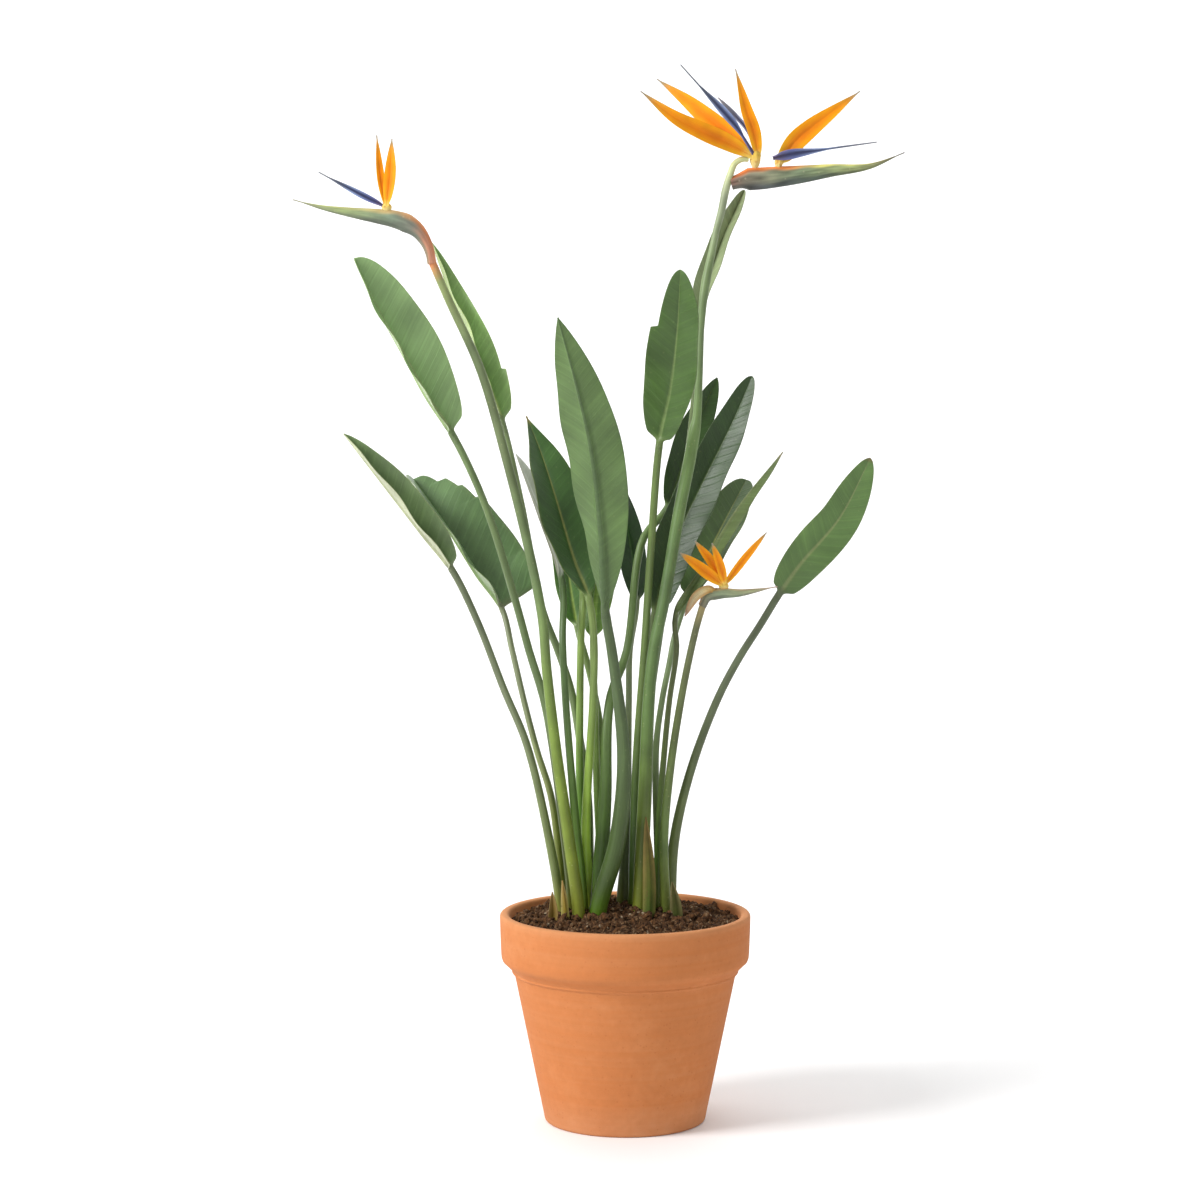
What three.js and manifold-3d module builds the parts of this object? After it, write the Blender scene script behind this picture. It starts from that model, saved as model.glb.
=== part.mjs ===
// A bird of paradise (Strelitzia reginae) in a terracotta pot. Millimetres, +Z up.
// The origin is the middle of the pot's underside. X runs to the viewer's right and Y away from the viewer.
import * as THREE from "three";
import { mergeVertices } from "three/addons/utils/BufferGeometryUtils.js";
import Module from "manifold-3d";

const wasm = await Module();
wasm.setup();

// Pot
const POT_HEIGHT = 208;
const RIM_RADIUS = 124.5;
const COLLAR_HEIGHT = 46;
const COLLAR_STEP = 11; // height of the chamfer under the collar
const SHOULDER_RADIUS = 110; // wall right under the collar
const BASE_RADIUS = 80.5;
const WALL = 9.5;
const FLOOR = 12;
const LIP_ROUND = 3.5;
const FOOT_ROUND = 3.5;
const DRAIN_RADIUS = 6;
const DRAIN_RING = 30; // the holes stand round the middle
const DRAIN_HOLES = 3;
const POT_SIDES = 40;

// Soil
const SOIL_EDGE = 199;
const SOIL_CROWN = 212;
const SOIL_RINGS = 5;
const SOIL_SIDES = 36;
const LUMP = 1.6; // height of the crumbly surface's lumps
const ROOT_DEPTH = 36; // how far stalks go into the soil
const GAP = 0.3; // clearance between pieces that touch
const SOCKET = 0.45; // clearance round what stands in a hole

// Leaves and stems
const STALK_SIDES = 7;
const STALK_STEPS = 9;
const STEM_STEPS = 2; // rings for each span of a stem's spine
const STALK_FLATNESS = 0.86; // depth of a stalk for its width
const STALK_TAPER = 2.2; // how soon a stalk thins above the soil
const BLADE_ROWS = [0, 0.035, 0.11, 0.22, 0.35, 0.48, 0.61, 0.74, 0.86, 0.95, 1];
const BLADE_THICKNESS = 0.9;
const TIP_HALF_WIDTH = 0.9;
const FOOT_OVERLAP = 0.995; // share of the way to its blade at which a stalk ends
const RIB_DEPTH = 3.2; // how far the midrib stands out under the blade at its foot
const PETAL_ROWS = [0, 0.08, 0.24, 0.43, 0.63, 0.83, 1];
const PETAL_THICKNESS = 1.7; // at its foot
const PETAL_TIP_THICKNESS = 0.7;
const PETAL_RIB = 1.6;
const PETAL_FOLD = 16;
const PETAL_FOOT = 0.45; // share of its width that a petal has at its foot
const SHEATH_FOOT = 0.8;
const BEAK_ROWS = [0, 0.06, 0.15, 0.3, 0.46, 0.62, 0.78, 0.9, 1];
const BEAK_SIDES = 10;
const BEAK_TIP = 0.6; // radius at a spathe's tip

// Each leaf's spine runs from the soil along the stalk to the foot of the blade and on to its tip. `foot` is
// the index of the blade's foot, `turn` the way its upper side faces (0 to the viewer, 90 to the right, 180
// away) at foot and tip, `fold` how far each half rises from flat, `curl` how far it bends on to its edge.
// `belly` is where the blade is widest and `point` how slender its tip is. A nick is where a tear has left
// one side narrower from there to the tip.
const LEAVES = [
  {
    name: "leaf_low_left",
    spine: [[-64, -10, 212], [-75, -14, 282], [-97, -19, 378], [-119, -26, 433], [-144, -36, 500],
      [-169, -48, 553], [-194, -62, 586], [-224, -78, 626], [-269, -95, 685]],
    foot: 5, width: 47, belly: 0.4, point: 0.75, turn: [42, 52], fold: [52, 50], curl: 10, stalk: [5.6, 3.6],
  },
  {
    name: "leaf_torn_left",
    spine: [[-62, 14, 211], [-73, 18, 318], [-88, 24, 367], [-101, 32, 416], [-113, 46, 465],
      [-124, 64, 506], [-149, 86, 538], [-182, 107, 587], [-217, 140, 633]],
    foot: 5, width: 109, belly: 0.3, point: 0.3, turn: [60, 50], fold: [46, 44], curl: -14,
    stalk: [5.4, 3.3],
    nicks: [
      { side: 1, at: 0.68, deep: 0.12 },
      { side: 1, at: 0.8, deep: 0.1 },
      { side: 1, at: 0.9, deep: 0.3 },
    ],
  },
  {
    name: "leaf_high_left",
    spine: [[-52, 4, 211], [-63, -2, 311], [-79, -8, 416], [-95, -12, 471], [-108, -17, 520],
      [-139, -22, 619], [-169, -32, 684], [-192, -43, 720], [-216, -57, 765], [-237, -75, 804],
      [-258, -95, 851]],
    foot: 6, width: 74, belly: 0.48, point: 0.5, turn: [44, 46], fold: [46, 40], curl: 8, stalk: [6, 3.8],
  },
  {
    name: "leaf_beside_left_flower",
    spine: [[-36, 38, 211], [-37, 36, 315], [-45, 33, 376], [-54, 30, 427], [-67, 27, 467], [-82, 25, 507],
      [-104, 25, 617], [-122, 27, 694], [-135, 34, 730], [-152, 43, 775], [-175, 56, 825], [-193, 70, 872]],
    foot: 7, width: 46, belly: 0.36, point: 0.8, turn: [40, 50], fold: [50, 50], curl: 4, stalk: [5.5, 3.6],
    nicks: [{ side: 1, at: 0.25, deep: 0.2 }],
  },
  {
    name: "leaf_back_left",
    spine: [[-23, 34, 211], [-24, 38, 381], [-34, 46, 437], [-48, 60, 488], [-58, 110, 541], [-71, 160, 611]],
    foot: 3, width: 34, belly: 0.42, point: 0.6, turn: [10, 20], fold: [22, 26], curl: -8, stalk: [5.2, 3.4],
  },
  {
    name: "leaf_dark_centre",
    spine: [[-35, 8, 212], [-39, 8, 289], [-32, 10, 419], [-31, 14, 478], [-36, 22, 518], [-51, 43, 556],
      [-70, 65, 618], [-85, 90, 662], [-100, 114, 698]],
    foot: 4, width: 60, belly: 0.42, point: 1.2, turn: [30, 30], fold: [25, 25], curl: -6, stalk: [6.2, 3.8],
  },
  {
    name: "leaf_tall_centre",
    spine: [[-28, -24, 210], [-10, -32, 275], [-3, -38, 324], [-2, -47, 376], [-13, -67, 471], [-20, -88, 516],
      [-24, -104, 594], [-33, -122, 670], [-47, -142, 732], [-64, -165, 794]],
    foot: 5, width: 60, belly: 0.48, point: 0.9, turn: [146, 172], fold: [24, 18], curl: -6,
    stalk: [9.2, 4.3, 0.6],
  },
  {
    name: "leaf_grey_behind",
    spine: [[-41, -8, 211], [-52, 0, 330], [-59, 5, 418], [-62, 10, 477], [-63, 46, 535], [-86, 90, 598],
      [-111, 128, 659]],
    foot: 4, width: 34, belly: 0.45, point: 0.85, turn: [100, 120], fold: [30, 30], curl: 0, stalk: [6, 4],
  },
  {
    name: "leaf_dark_back",
    spine: [[0, 32, 212], [3, 40, 325], [4, 50, 415], [5, 60, 464], [12, 72, 512], [6, 110, 567],
      [-8, 150, 634]],
    foot: 4, width: 30, belly: 0.42, point: 0.7, turn: [0, 10], fold: [20, 22], curl: -6,
    stalk: [9, 3.2, 0.22],
  },
  {
    name: "leaf_upright_notched",
    spine: [[8, 12, 212], [11, 3, 350], [19, 1, 470], [25, -9, 569], [33, -26, 675], [43, -49, 726],
      [49, -75, 784], [51, -105, 840]],
    foot: 4, width: 56, belly: 0.46, point: 0.5, turn: [-30, -16], fold: [18, 22], curl: -6,
    stalk: [5.8, 3.8],
    nicks: [{ side: -1, at: 0.66, deep: 0.26 }],
  },
  {
    name: "leaf_behind_right_flower",
    spine: [[21, 18, 211], [21, 9, 379], [36, 6, 499], [54, 10, 608], [68, 15, 716], [71, 22, 785],
      [77, 32, 815], [85, 42, 842], [98, 53, 878], [119, 64, 924]],
    foot: 5, width: 31, belly: 0.45, point: 0.5, turn: [-24, -8], fold: [50, 50], curl: 0, stalk: [5.4, 3.4],
  },
  {
    name: "leaf_far_back",
    spine: [[-27, -4, 212], [-20, 0, 320], [-15, 20, 418], [2, 45, 465], [18, 62, 575], [43, 82, 606],
      [67, 120, 674], [96, 160, 737]],
    foot: 5, width: 37, belly: 0.42, point: 0.7, turn: [0, 14], fold: [26, 26], curl: -6,
    stalk: [7.8, 3.8, 0.38],
  },
  {
    name: "leaf_large_right",
    spine: [[24, 36, 212], [15, 33, 336], [25, 34, 436], [30, 40, 504], [51, 50, 576], [79, 60, 635],
      [109, 70, 695], [128, 78, 739]],
    foot: 3, width: 48, belly: 0.4, point: 0.5, turn: [2, -12], fold: [26, 26], curl: 4, stalk: [6, 3.8],
  },
  {
    name: "leaf_teal_back",
    spine: [[35, 28, 211], [31, 30, 366], [37, 32, 416], [44, 36, 451], [50, 42, 481], [63, 50, 518],
      [92, 95, 573], [126, 150, 632]],
    foot: 5, width: 46, belly: 0.5, point: 0.45, turn: [-32, -20], fold: [20, 20], curl: -4, stalk: [5.2, 3],
  },
  {
    name: "leaf_narrow_right",
    spine: [[31, 4, 211], [35, 6, 319], [39, 8, 369], [44, 10, 419], [51, 12, 469], [50, 12, 503],
      [76, 6, 548], [109, -12, 607], [152, -40, 666]],
    foot: 5, width: 30, belly: 0.38, point: 0.8, turn: [84, 104], fold: [30, 30], curl: 0, stalk: [5.4, 3.2],
  },
  {
    name: "leaf_wide_right",
    spine: [[45, 8, 211], [49, 8, 279], [65, 6, 349], [91, 2, 420], [111, -4, 460], [133, -10, 496],
      [151, -18, 527], [170, -30, 556], [207, -44, 602], [235, -64, 661]],
    foot: 6, width: 43, belly: 0.42, point: 0.55, turn: [4, 4], fold: [14, 14], curl: -6, stalk: [6.5, 3.7],
  },
  {
    name: "leaf_short_back",
    spine: [[-22, 15, 211], [-28, 20, 328], [-30, 28, 417], [-32, 34, 478], [-25, 80, 554], [-22, 140, 627]],
    foot: 3, width: 36, belly: 0.42, point: 0.7, turn: [170, 176], fold: [24, 24], curl: -6, stalk: [5, 3.2],
  },
  {
    name: "leaf_hidden_back",
    spine: [[-40, 21, 211], [-45, 22, 327], [-45, 26, 417], [-44, 32, 477], [-42, 44, 522], [-42, 76, 570],
      [-47, 122, 640]],
    foot: 4, width: 30, belly: 0.42, point: 0.7, turn: [-20, -30], fold: [26, 26], curl: -6,
    stalk: [5.4, 3.6],
  },
];

// Flower stems, from the soil to where the spathe or the florets sit on them, with a radius for each point. The
// right one is slim above its last sheath and hooks over at the top.
const STEMS = [
  {
    name: "flower_left_stem",
    spine: [[-46, -27, 212], [-54, -29, 275], [-68, -31, 374], [-77, -34, 453], [-81, -39, 503],
      [-94, -44, 571], [-116, -48, 661], [-140, -52, 745], [-171, -56, 814], [-186, -60, 849]],
    radii: [6.8, 6.4, 5.8, 5.3, 5.1, 4.9, 4.7, 4.6, 4.2, 4.1],
  },
  {
    name: "flower_right_stem",
    spine: [[14, -18, 212], [19, -17, 323], [23, -15, 422], [28, -13, 471], [38, -11, 520], [53, -8, 608],
      [63, -5, 658], [68, -4, 687], [70, -3, 699], [72, -1, 736], [74, 1, 784], [76, 3, 813], [79, 5, 833],
      [85, 7, 862], [89, 8, 882], [94, 8, 901], [98, 8, 921], [103, 8, 938], [107, 9, 947], [114, 9, 951],
      [120, 10, 951]],
    radii: [8, 7.5, 6.6, 6.3, 6.3, 6.6, 6.6, 6.2, 4.8, 4, 3.4, 4.5, 4.9, 3.8, 3.6, 4, 4.2, 3.6, 3.4, 3.1, 3],
  },
  {
    name: "flower_right_lower_stem",
    spine: [[40, -10, 212], [38, -16, 283], [44, -25, 354], [56, -35, 434], [68, -44, 493], [75, -50, 519]],
    radii: [5.4, 4.6, 4, 3.6, 3.4, 3.4],
  },
];

// Spathes: beaks that lie across the stem's top. `up` is the turn that brings their seam on top, `neck` their
// radius where they start and `grown` the share of their length over which they swell to their full depth.
const SPATHES = [
  {
    name: "flower_left_spathe",
    spine: [[-186, -60, 847], [-188, -60, 858], [-192, -60, 868], [-200, -60, 879], [-211, -60, 886],
      [-224, -60, 890], [-236, -60, 892], [-264, -60, 896], [-293, -60, 901], [-319, -60, 908]],
    depth: 20.5, width: 14, neck: 4.4, up: 90, grown: 0.3,
  },
  {
    name: "flower_right_spathe",
    spine: [[103.5, 10, 927.5], [117, 10, 931], [137, 10, 932.8], [171, 10, 936.3], [200, 10, 940],
      [239, 10, 944.3], [273, 10, 957.5]],
    depth: 22, width: 14, neck: 6.5, up: -90, grown: 0.1,
  },
  {
    name: "flower_right_lower_spathe",
    spine: [[74, -49.5, 517], [79.5, -50, 526.5], [92, -50, 529.5], [111, -50, 530], [147, -50, 536]],
    depth: 12, width: 9, neck: 4.2, up: -90, grown: 0.2,
  },
];

// Florets: the orange sepals stand on a small swollen base, and the blue tongues stand in it too.
const FLORETS = [
  {
    name: "flower_left_floret",
    stands: "flower_left_spathe",
    base: [-229, -60, 900],
    swell: [6, 4, 4.5],
    sepals: [
      { spine: [[-231, -58, 902], [-236, -54, 936], [-239, -50, 970]], width: 8, turn: 20, point: 1.1 },
      { spine: [[-229, -62, 902], [-225, -67, 931], [-223, -72, 965]], width: 12, turn: -10, point: 1 },
    ],
    tongues: [
      {
        spine: [[-232, -60, 902], [-249, -60, 910], [-294, -62, 934]],
        width: 7.5, turn: 30, belly: 0.3, point: 1.6,
      },
    ],
  },
  {
    name: "flower_right_floret_one",
    stands: "flower_right_spathe",
    base: [127, 10, 950.5],
    swell: [6.5, 5.5, 9.5],
    sepals: [
      {
        spine: [[124, 8.5, 954], [100, 2, 966], [75, -8, 976], [48, -17, 989], [14, -25, 1014]],
        width: 19, turn: 10, belly: 0.36, point: 1.1,
      },
      {
        spine: [[125, 11.5, 955], [103, 16, 974], [81, 21, 992], [61, 27, 1009], [31, 34, 1031]],
        width: 20, turn: -16, belly: 0.36, point: 1.1,
      },
      {
        spine: [[130, 10, 953], [125, 8, 978], [118, 7, 998], [113, 6, 1016], [107, 4, 1038]],
        width: 14, turn: 14, belly: 0.33, point: 1.1,
      },
    ],
    tongues: [
      {
        spine: [[125, 7.5, 956], [109, 2, 980], [93, -2, 998], [75, -6, 1017], [53, -8, 1041]],
        width: 9.5, turn: 24, belly: 0.43, point: 4,
      },
      {
        spine: [[128, 13, 955], [120, 17, 979], [108, 20, 994], [91, 24, 1012]],
        width: 5, turn: -10, belly: 0.6, point: 0.7,
      },
    ],
  },
  {
    name: "flower_right_floret_two",
    stands: "flower_right_spathe",
    base: [150, 10, 947],
    swell: [5, 4.4, 6],
    sepals: [
      {
        spine: [[151, 11, 949], [157, 12, 956], [167, 13, 969], [182, 14, 982], [202, 16, 997],
          [230, 22, 1018]],
        width: 20, turn: 0, belly: 0.26, point: 1.1,
      },
    ],
    tongues: [
      {
        spine: [[144, 7, 952], [161, 5, 956], [192, 3, 960], [245, 1, 967]],
        width: 11, turn: 30, belly: 0.17, point: 4.5,
      },
    ],
  },
  {
    name: "flower_right_lower_floret",
    stands: "flower_right_lower_spathe",
    base: [95, -50, 536],
    swell: [6, 3.6, 4],
    sepals: [
      { spine: [[94, -52, 538], [77, -59, 551], [52, -68, 570]], width: 12, turn: 10 },
      { spine: [[95, -49, 539], [84, -46, 559], [67, -42, 580]], width: 10, turn: -10 },
      { spine: [[96, -53, 539], [91, -58, 557], [83, -64, 579]], width: 9, turn: 10 },
      { spine: [[96, -50, 538], [113, -52, 561], [136, -56, 589]], width: 8, turn: 6 },
    ],
    tongues: [],
  },
];

// Dry and young sheaths at the foot of the plant, and the withered sepal under the lower flower.
const SHEATHS = [
  {
    name: "green_stub",
    spine: [[-72, -24, 180], [-71, -25, 212], [-72, -27, 233]],
    width: 12, fold: 30, turn: 0,
  },
  {
    name: "dry_bract_left",
    spine: [[-58, -34, 180], [-59, -35, 214], [-62, -37, 246]],
    width: 9, fold: 26, turn: 190,
  },
  {
    name: "dry_sheath_centre",
    spine: [[21, -33, 180], [24, -34, 235], [20, -32, 308]],
    width: 15, fold: 30, turn: 184,
  },
  {
    name: "dry_sheath_right",
    spine: [[50, -24, 180], [50, -26, 212], [46, -28, 243]],
    width: 15, fold: 34, turn: 176,
  },
  {
    name: "withered_sepal",
    hangs: "flower_right_lower_spathe",
    spine: [[86, -51, 532], [80, -55.5, 534], [68, -58.5, 527.5], [57, -60, 508]],
    width: 9.5, fold: 24, turn: 0,
  },
];

const material = (color, roughness) => new THREE.MeshStandardMaterial({ color, roughness, metalness: 0 });
const terracotta = material(0xd98555, 0.9);
const earth = material(0x3a2a20, 1);
const leafGreen = material(0x4f7a45, 0.5);
const stemGreen = material(0x6f9a4e, 0.45);
const spatheGreen = material(0x7f927c, 0.5);
const sepalOrange = material(0xf79a12, 0.55);
const tongueBlue = material(0x3d4378, 0.5);
const drySheath = material(0xa98a62, 0.8);

const VIEWER = new THREE.Vector3(0, -1, 0);
const radians = THREE.MathUtils.degToRad;
const between = THREE.MathUtils.lerp;
const spineOf = (points) => new THREE.CatmullRomCurve3(points.map((p) => new THREE.Vector3(...p)));

// The solid of a closed geometry, with its shared corners merged.
function solidOf(geometry) {
  const plain = new THREE.BufferGeometry().setAttribute("position", geometry.getAttribute("position"));
  plain.setIndex(geometry.index);
  const merged = mergeVertices(plain, 1e-3);
  return new wasm.Manifold(
    new wasm.Mesh({
      numProp: 3,
      vertProperties: merged.attributes.position.array,
      triVerts: new Uint32Array(merged.index.array),
    }),
  );
}

function geometryOf(solid) {
  const mesh = solid.getMesh();
  const geometry = new THREE.BufferGeometry();
  geometry.setAttribute("position", new THREE.BufferAttribute(mesh.vertProperties, 3));
  geometry.setIndex(new THREE.BufferAttribute(mesh.triVerts, 1));
  return geometry;
}

// A closed skin over rings of points, each ring as long as the one before or twice as long. The second half
// of a ring is split the other way round, so that the two faces of a thin blade are split alike.
function loft(rings) {
  const corners = [];
  let start = 0;
  const first = rings[0].length;
  for (let i = 1; i < first - 1; i++) corners.push(0, i, i + 1);
  rings.slice(1).forEach((ring, k) => {
    const count = rings[k].length;
    const next = start + count;
    for (let i = 0; i < count; i++) {
      const a = start + i;
      const b = start + ((i + 1) % count);
      if (ring.length === count) {
        const c = next + ((i + 1) % count);
        const d = next + i;
        if (i < count / 2) corners.push(a, d, c, a, c, b);
        else corners.push(a, d, b, b, d, c);
      } else {
        const far = next + ((2 * i + 2) % ring.length);
        corners.push(a, next + 2 * i, next + 2 * i + 1, a, next + 2 * i + 1, far, a, far, b);
      }
    }
    start = next;
  });
  const last = rings[rings.length - 1].length;
  for (let i = 1; i < last - 1; i++) corners.push(start, start + i + 1, start + i);
  const geometry = new THREE.BufferGeometry();
  geometry.setFromPoints(rings.flat());
  geometry.setIndex(corners);
  return geometry;
}

// The place at share u of a curve's length, with the way along it, the way its upper side faces and the way
// across.
function placeAt(curve, u, turn) {
  const along = curve.getTangentAt(u);
  const toViewer = VIEWER.clone().addScaledVector(along, -VIEWER.dot(along)).normalize();
  const across = along.clone().cross(toViewer).applyAxisAngle(along, radians(turn));
  const face = toViewer.applyAxisAngle(along, radians(turn));
  return { point: curve.getPointAt(u), along, face, across };
}

function roundRing(place, sides, wide, deep) {
  return Array.from({ length: sides }, (_, i) => {
    const angle = (2 * Math.PI * (i + 0.25)) / sides;
    return place.point
      .clone()
      .addScaledVector(place.across, wide * Math.cos(angle))
      .addScaledVector(place.face, deep * Math.sin(angle));
  });
}

// One ring round a thin folded blade: its upper side from the right edge to the left, then its underside back.
function bladeRing(place, halves, columns, shape) {
  const upper = [];
  const under = [];
  for (const column of columns) {
    const side = Math.sign(column);
    const reach = Math.abs(column);
    const out = reach * (side < 0 ? halves[0] : halves[1]);
    const chord = radians(shape.fold + (shape.curl * reach) / 2);
    const lean = radians(shape.fold + shape.curl * reach);
    const middle = place.point
      .clone()
      .addScaledVector(place.across, side * out * Math.cos(chord))
      .addScaledVector(place.face, out * Math.sin(chord));
    const normal = place.face.clone();
    if (side) {
      normal.multiplyScalar(Math.cos(lean)).addScaledVector(place.across, -side * Math.sin(lean));
    }
    const half = side ? shape.thickness / 2 : shape.thickness / 2 / Math.cos(lean);
    upper.push(middle.clone().addScaledVector(normal, half));
    under.push(middle.clone().addScaledVector(normal, -half - (side ? 0 : shape.rib)));
  }
  return [...upper, ...under.reverse()];
}

// A blade's outline: 0 at foot and tip, 1 where it is widest.
function outline(t, belly, point) {
  const foot = (point * belly) / (1 - belly);
  const widest = belly ** foot * (1 - belly) ** point;
  return (t ** foot * (1 - t) ** point) / widest;
}

// Share of the curve's length at which its control point `index` lies. A half lies midway to the next.
function shareAt(curve, index) {
  const lengths = curve.getLengths(100 * (curve.points.length - 1));
  return lengths[100 * index] / lengths[lengths.length - 1];
}

function rooted(spine) {
  const [x, y, z] = spine[0];
  return spineOf([[x, y, z - ROOT_DEPTH], ...spine]);
}

// A stalk's radius at share v of it, from its foot's radius to its top's. A third number is the share that its
// thick sheath takes.
function stalkRadius([low, high, sheath], v) {
  return between(high, low, sheath ? 1 / (1 + (v / sheath) ** 4) : (1 - v) ** STALK_TAPER);
}

// Rings up a stalk from its lower end, with steps that are closer together near it. `swell` makes all of it
// larger, to cut the hole that it stands in.
function stalkRings(curve, stalk, end, turn, swell = 0) {
  return Array.from({ length: STALK_STEPS + 1 }, (_, i) => {
    const v = (i / STALK_STEPS) ** 1.15;
    const place = placeAt(curve, v * end, turn);
    if (i === 0) place.point.addScaledVector(place.along, -swell);
    if (i === STALK_STEPS) place.point.addScaledVector(place.along, swell);
    const radius = stalkRadius(stalk, v);
    return roundRing(place, STALK_SIDES, radius + swell, radius * STALK_FLATNESS + swell);
  });
}

// How a leaf's stalk runs from its root to the foot of the blade.
function leafStalk(leaf) {
  const curve = rooted(leaf.spine);
  return { curve, foot: shareAt(curve, leaf.foot + 1), turn: leaf.turn[0] };
}

function leafGeometry(leaf) {
  const { curve, foot, turn } = leafStalk(leaf);
  const rings = stalkRings(curve, leaf.stalk, foot * FOOT_OVERLAP, turn);
  const nicks = leaf.nicks ?? [];
  const rows = [...BLADE_ROWS, ...nicks.flatMap(({ at }) => [at - 0.012, at + 0.004])].sort((a, b) => a - b);
  for (const t of rows) {
    const place = placeAt(curve, between(foot, 1, t), between(...leaf.turn, t));
    const rib = between(leaf.stalk[1], TIP_HALF_WIDTH * 0.5, t);
    const full = (leaf.width / 2) * outline(t, leaf.belly, leaf.point);
    const halves = [-1, 1].map((side) => {
      const torn = nicks.filter((nick) => nick.side === side && t > nick.at);
      const left = torn.reduce((rest, nick) => rest * (1 - nick.deep), 1);
      return Math.max(full * left, between(leaf.stalk[1], TIP_HALF_WIDTH, t));
    });
    const near = Math.min(0.36, rib / Math.max(...halves));
    rings.push(
      bladeRing(place, halves, [1, 0.68, near, 0, -near, -0.68, -1], {
        fold: between(...leaf.fold, t),
        curl: leaf.curl,
        thickness: BLADE_THICKNESS,
        rib: RIB_DEPTH * (1 - t) ** 0.8,
      }),
    );
  }
  return loft(rings);
}

// A sepal, tongue or sheath: one folded, lens-thick blade.
function petalGeometry(petal, swell = 0, base = PETAL_FOOT) {
  const curve = spineOf(petal.spine);
  const rings = PETAL_ROWS.map((t) => {
    const place = placeAt(curve, t, petal.turn);
    if (t === 0) place.point.addScaledVector(place.along, -swell);
    const full = (petal.width / 2) * outline(t, petal.belly ?? 0.4, petal.point ?? 0.8);
    const least = between((petal.width / 2) * base, TIP_HALF_WIDTH * 0.7, t ** 0.5);
    const half = Math.max(full, least) + swell;
    return bladeRing(place, [half, half], [1, 0.5, 0, -0.5, -1], {
      fold: petal.fold ?? PETAL_FOLD,
      curl: 0,
      thickness: between(PETAL_THICKNESS, PETAL_TIP_THICKNESS, t) + 2 * swell,
      rib: between(PETAL_RIB, 0.1, t),
    });
  });
  return loft(rings);
}

// A flower stem, with rings at its spine's points and between them.
function stemSolid(stem, swell = 0) {
  const curve = rooted(stem.spine);
  const radii = [stem.radii[0], ...stem.radii];
  const count = STEM_STEPS * stem.spine.length;
  const rings = Array.from({ length: count + 1 }, (_, i) => {
    const at = i / STEM_STEPS;
    const place = placeAt(curve, shareAt(curve, at), 0);
    if (i === 0) place.point.addScaledVector(place.along, -swell);
    if (i === count) place.point.addScaledVector(place.along, swell);
    const radius = between(radii[Math.floor(at)], radii[Math.ceil(at)], at % 1);
    return roundRing(place, STALK_SIDES, radius + swell, radius * STALK_FLATNESS + swell);
  });
  return solidOf(loft(rings));
}

// The sepals of one floret with their swollen base.
function sepalsSolid(floret, swell = 0) {
  const radii = floret.swell.map((radius) => radius + swell);
  const base = solidOf(new THREE.SphereGeometry(1, 8, 5).scale(...radii).translate(...floret.base));
  return floret.sepals.reduce((flower, sepal) => flower.add(solidOf(petalGeometry(sepal, swell))), base);
}

// A spathe: round at its neck, then deep and keeled, down to a slender tip.
function spatheSolid(spathe, swell = 0) {
  const curve = spineOf(spathe.spine);
  const slender = (t) => (t + 0.06) ** 0.25 * (1 - t) ** 1.2;
  const fullest = slender(0.12);
  const rings = BEAK_ROWS.map((t) => {
    const grown = Math.min(1, t / spathe.grown) ** 2;
    const share = slender(t) / fullest;
    const deep = between(spathe.neck, (spathe.depth / 2) * share, grown);
    const wide = between(spathe.neck, (spathe.width / 2) * share, grown);
    const place = placeAt(curve, t, spathe.up);
    return roundRing(place, BEAK_SIDES, Math.max(wide, BEAK_TIP) + swell, Math.max(deep, BEAK_TIP) + swell);
  });
  return solidOf(loft(rings));
}

// The largest body of a solid, without the slivers that a cut leaves.
function largestOf(solid) {
  return solid.decompose().sort((a, b) => b.volume() - a.volume())[0];
}

function potGeometry() {
  const arc = (x, z, radius, from, to) =>
    [0, 0.5, 1].map((t) => {
      const angle = radians(between(from, to, t));
      return new THREE.Vector2(x + radius * Math.cos(angle), z + radius * Math.sin(angle));
    });
  const under = POT_HEIGHT - COLLAR_HEIGHT;
  const profile = [
    new THREE.Vector2(0, 0),
    ...arc(BASE_RADIUS - FOOT_ROUND, FOOT_ROUND, FOOT_ROUND, -90, 0),
    new THREE.Vector2(SHOULDER_RADIUS, under - COLLAR_STEP - 4),
    new THREE.Vector2(SHOULDER_RADIUS + 2, under - COLLAR_STEP),
    new THREE.Vector2(RIM_RADIUS - 2.5, under - 1),
    new THREE.Vector2(RIM_RADIUS - 1.5, under + 2),
    ...arc(RIM_RADIUS - LIP_ROUND, POT_HEIGHT - LIP_ROUND, LIP_ROUND, 0, 90),
    ...arc(RIM_RADIUS - WALL + LIP_ROUND, POT_HEIGHT - LIP_ROUND, LIP_ROUND, 90, 180),
    new THREE.Vector2(innerRadius(under), under),
    new THREE.Vector2(innerRadius(FLOOR), FLOOR),
    new THREE.Vector2(0, FLOOR),
  ];
  let pot = solidOf(new THREE.LatheGeometry(profile, POT_SIDES).rotateX(Math.PI / 2));
  for (let i = 0; i < DRAIN_HOLES; i++) {
    const angle = (2 * Math.PI * i) / DRAIN_HOLES;
    const drill = new THREE.CylinderGeometry(DRAIN_RADIUS, DRAIN_RADIUS, 3 * FLOOR, 16).rotateX(Math.PI / 2);
    drill.translate(DRAIN_RING * Math.cos(angle), DRAIN_RING * Math.sin(angle), 0);
    pot = pot.subtract(solidOf(drill));
  }
  return geometryOf(pot);
}

// Inside of the pot's wall at a height: straight from the floor to the collar, then up to the lip.
function innerRadius(z) {
  const collar = POT_HEIGHT - COLLAR_HEIGHT;
  const shoulder = SHOULDER_RADIUS - WALL + 2;
  if (z > collar) return between(shoulder, RIM_RADIUS - WALL, (z - collar) / (COLLAR_HEIGHT - LIP_ROUND));
  return between(BASE_RADIUS - WALL, shoulder, z / collar);
}

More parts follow.
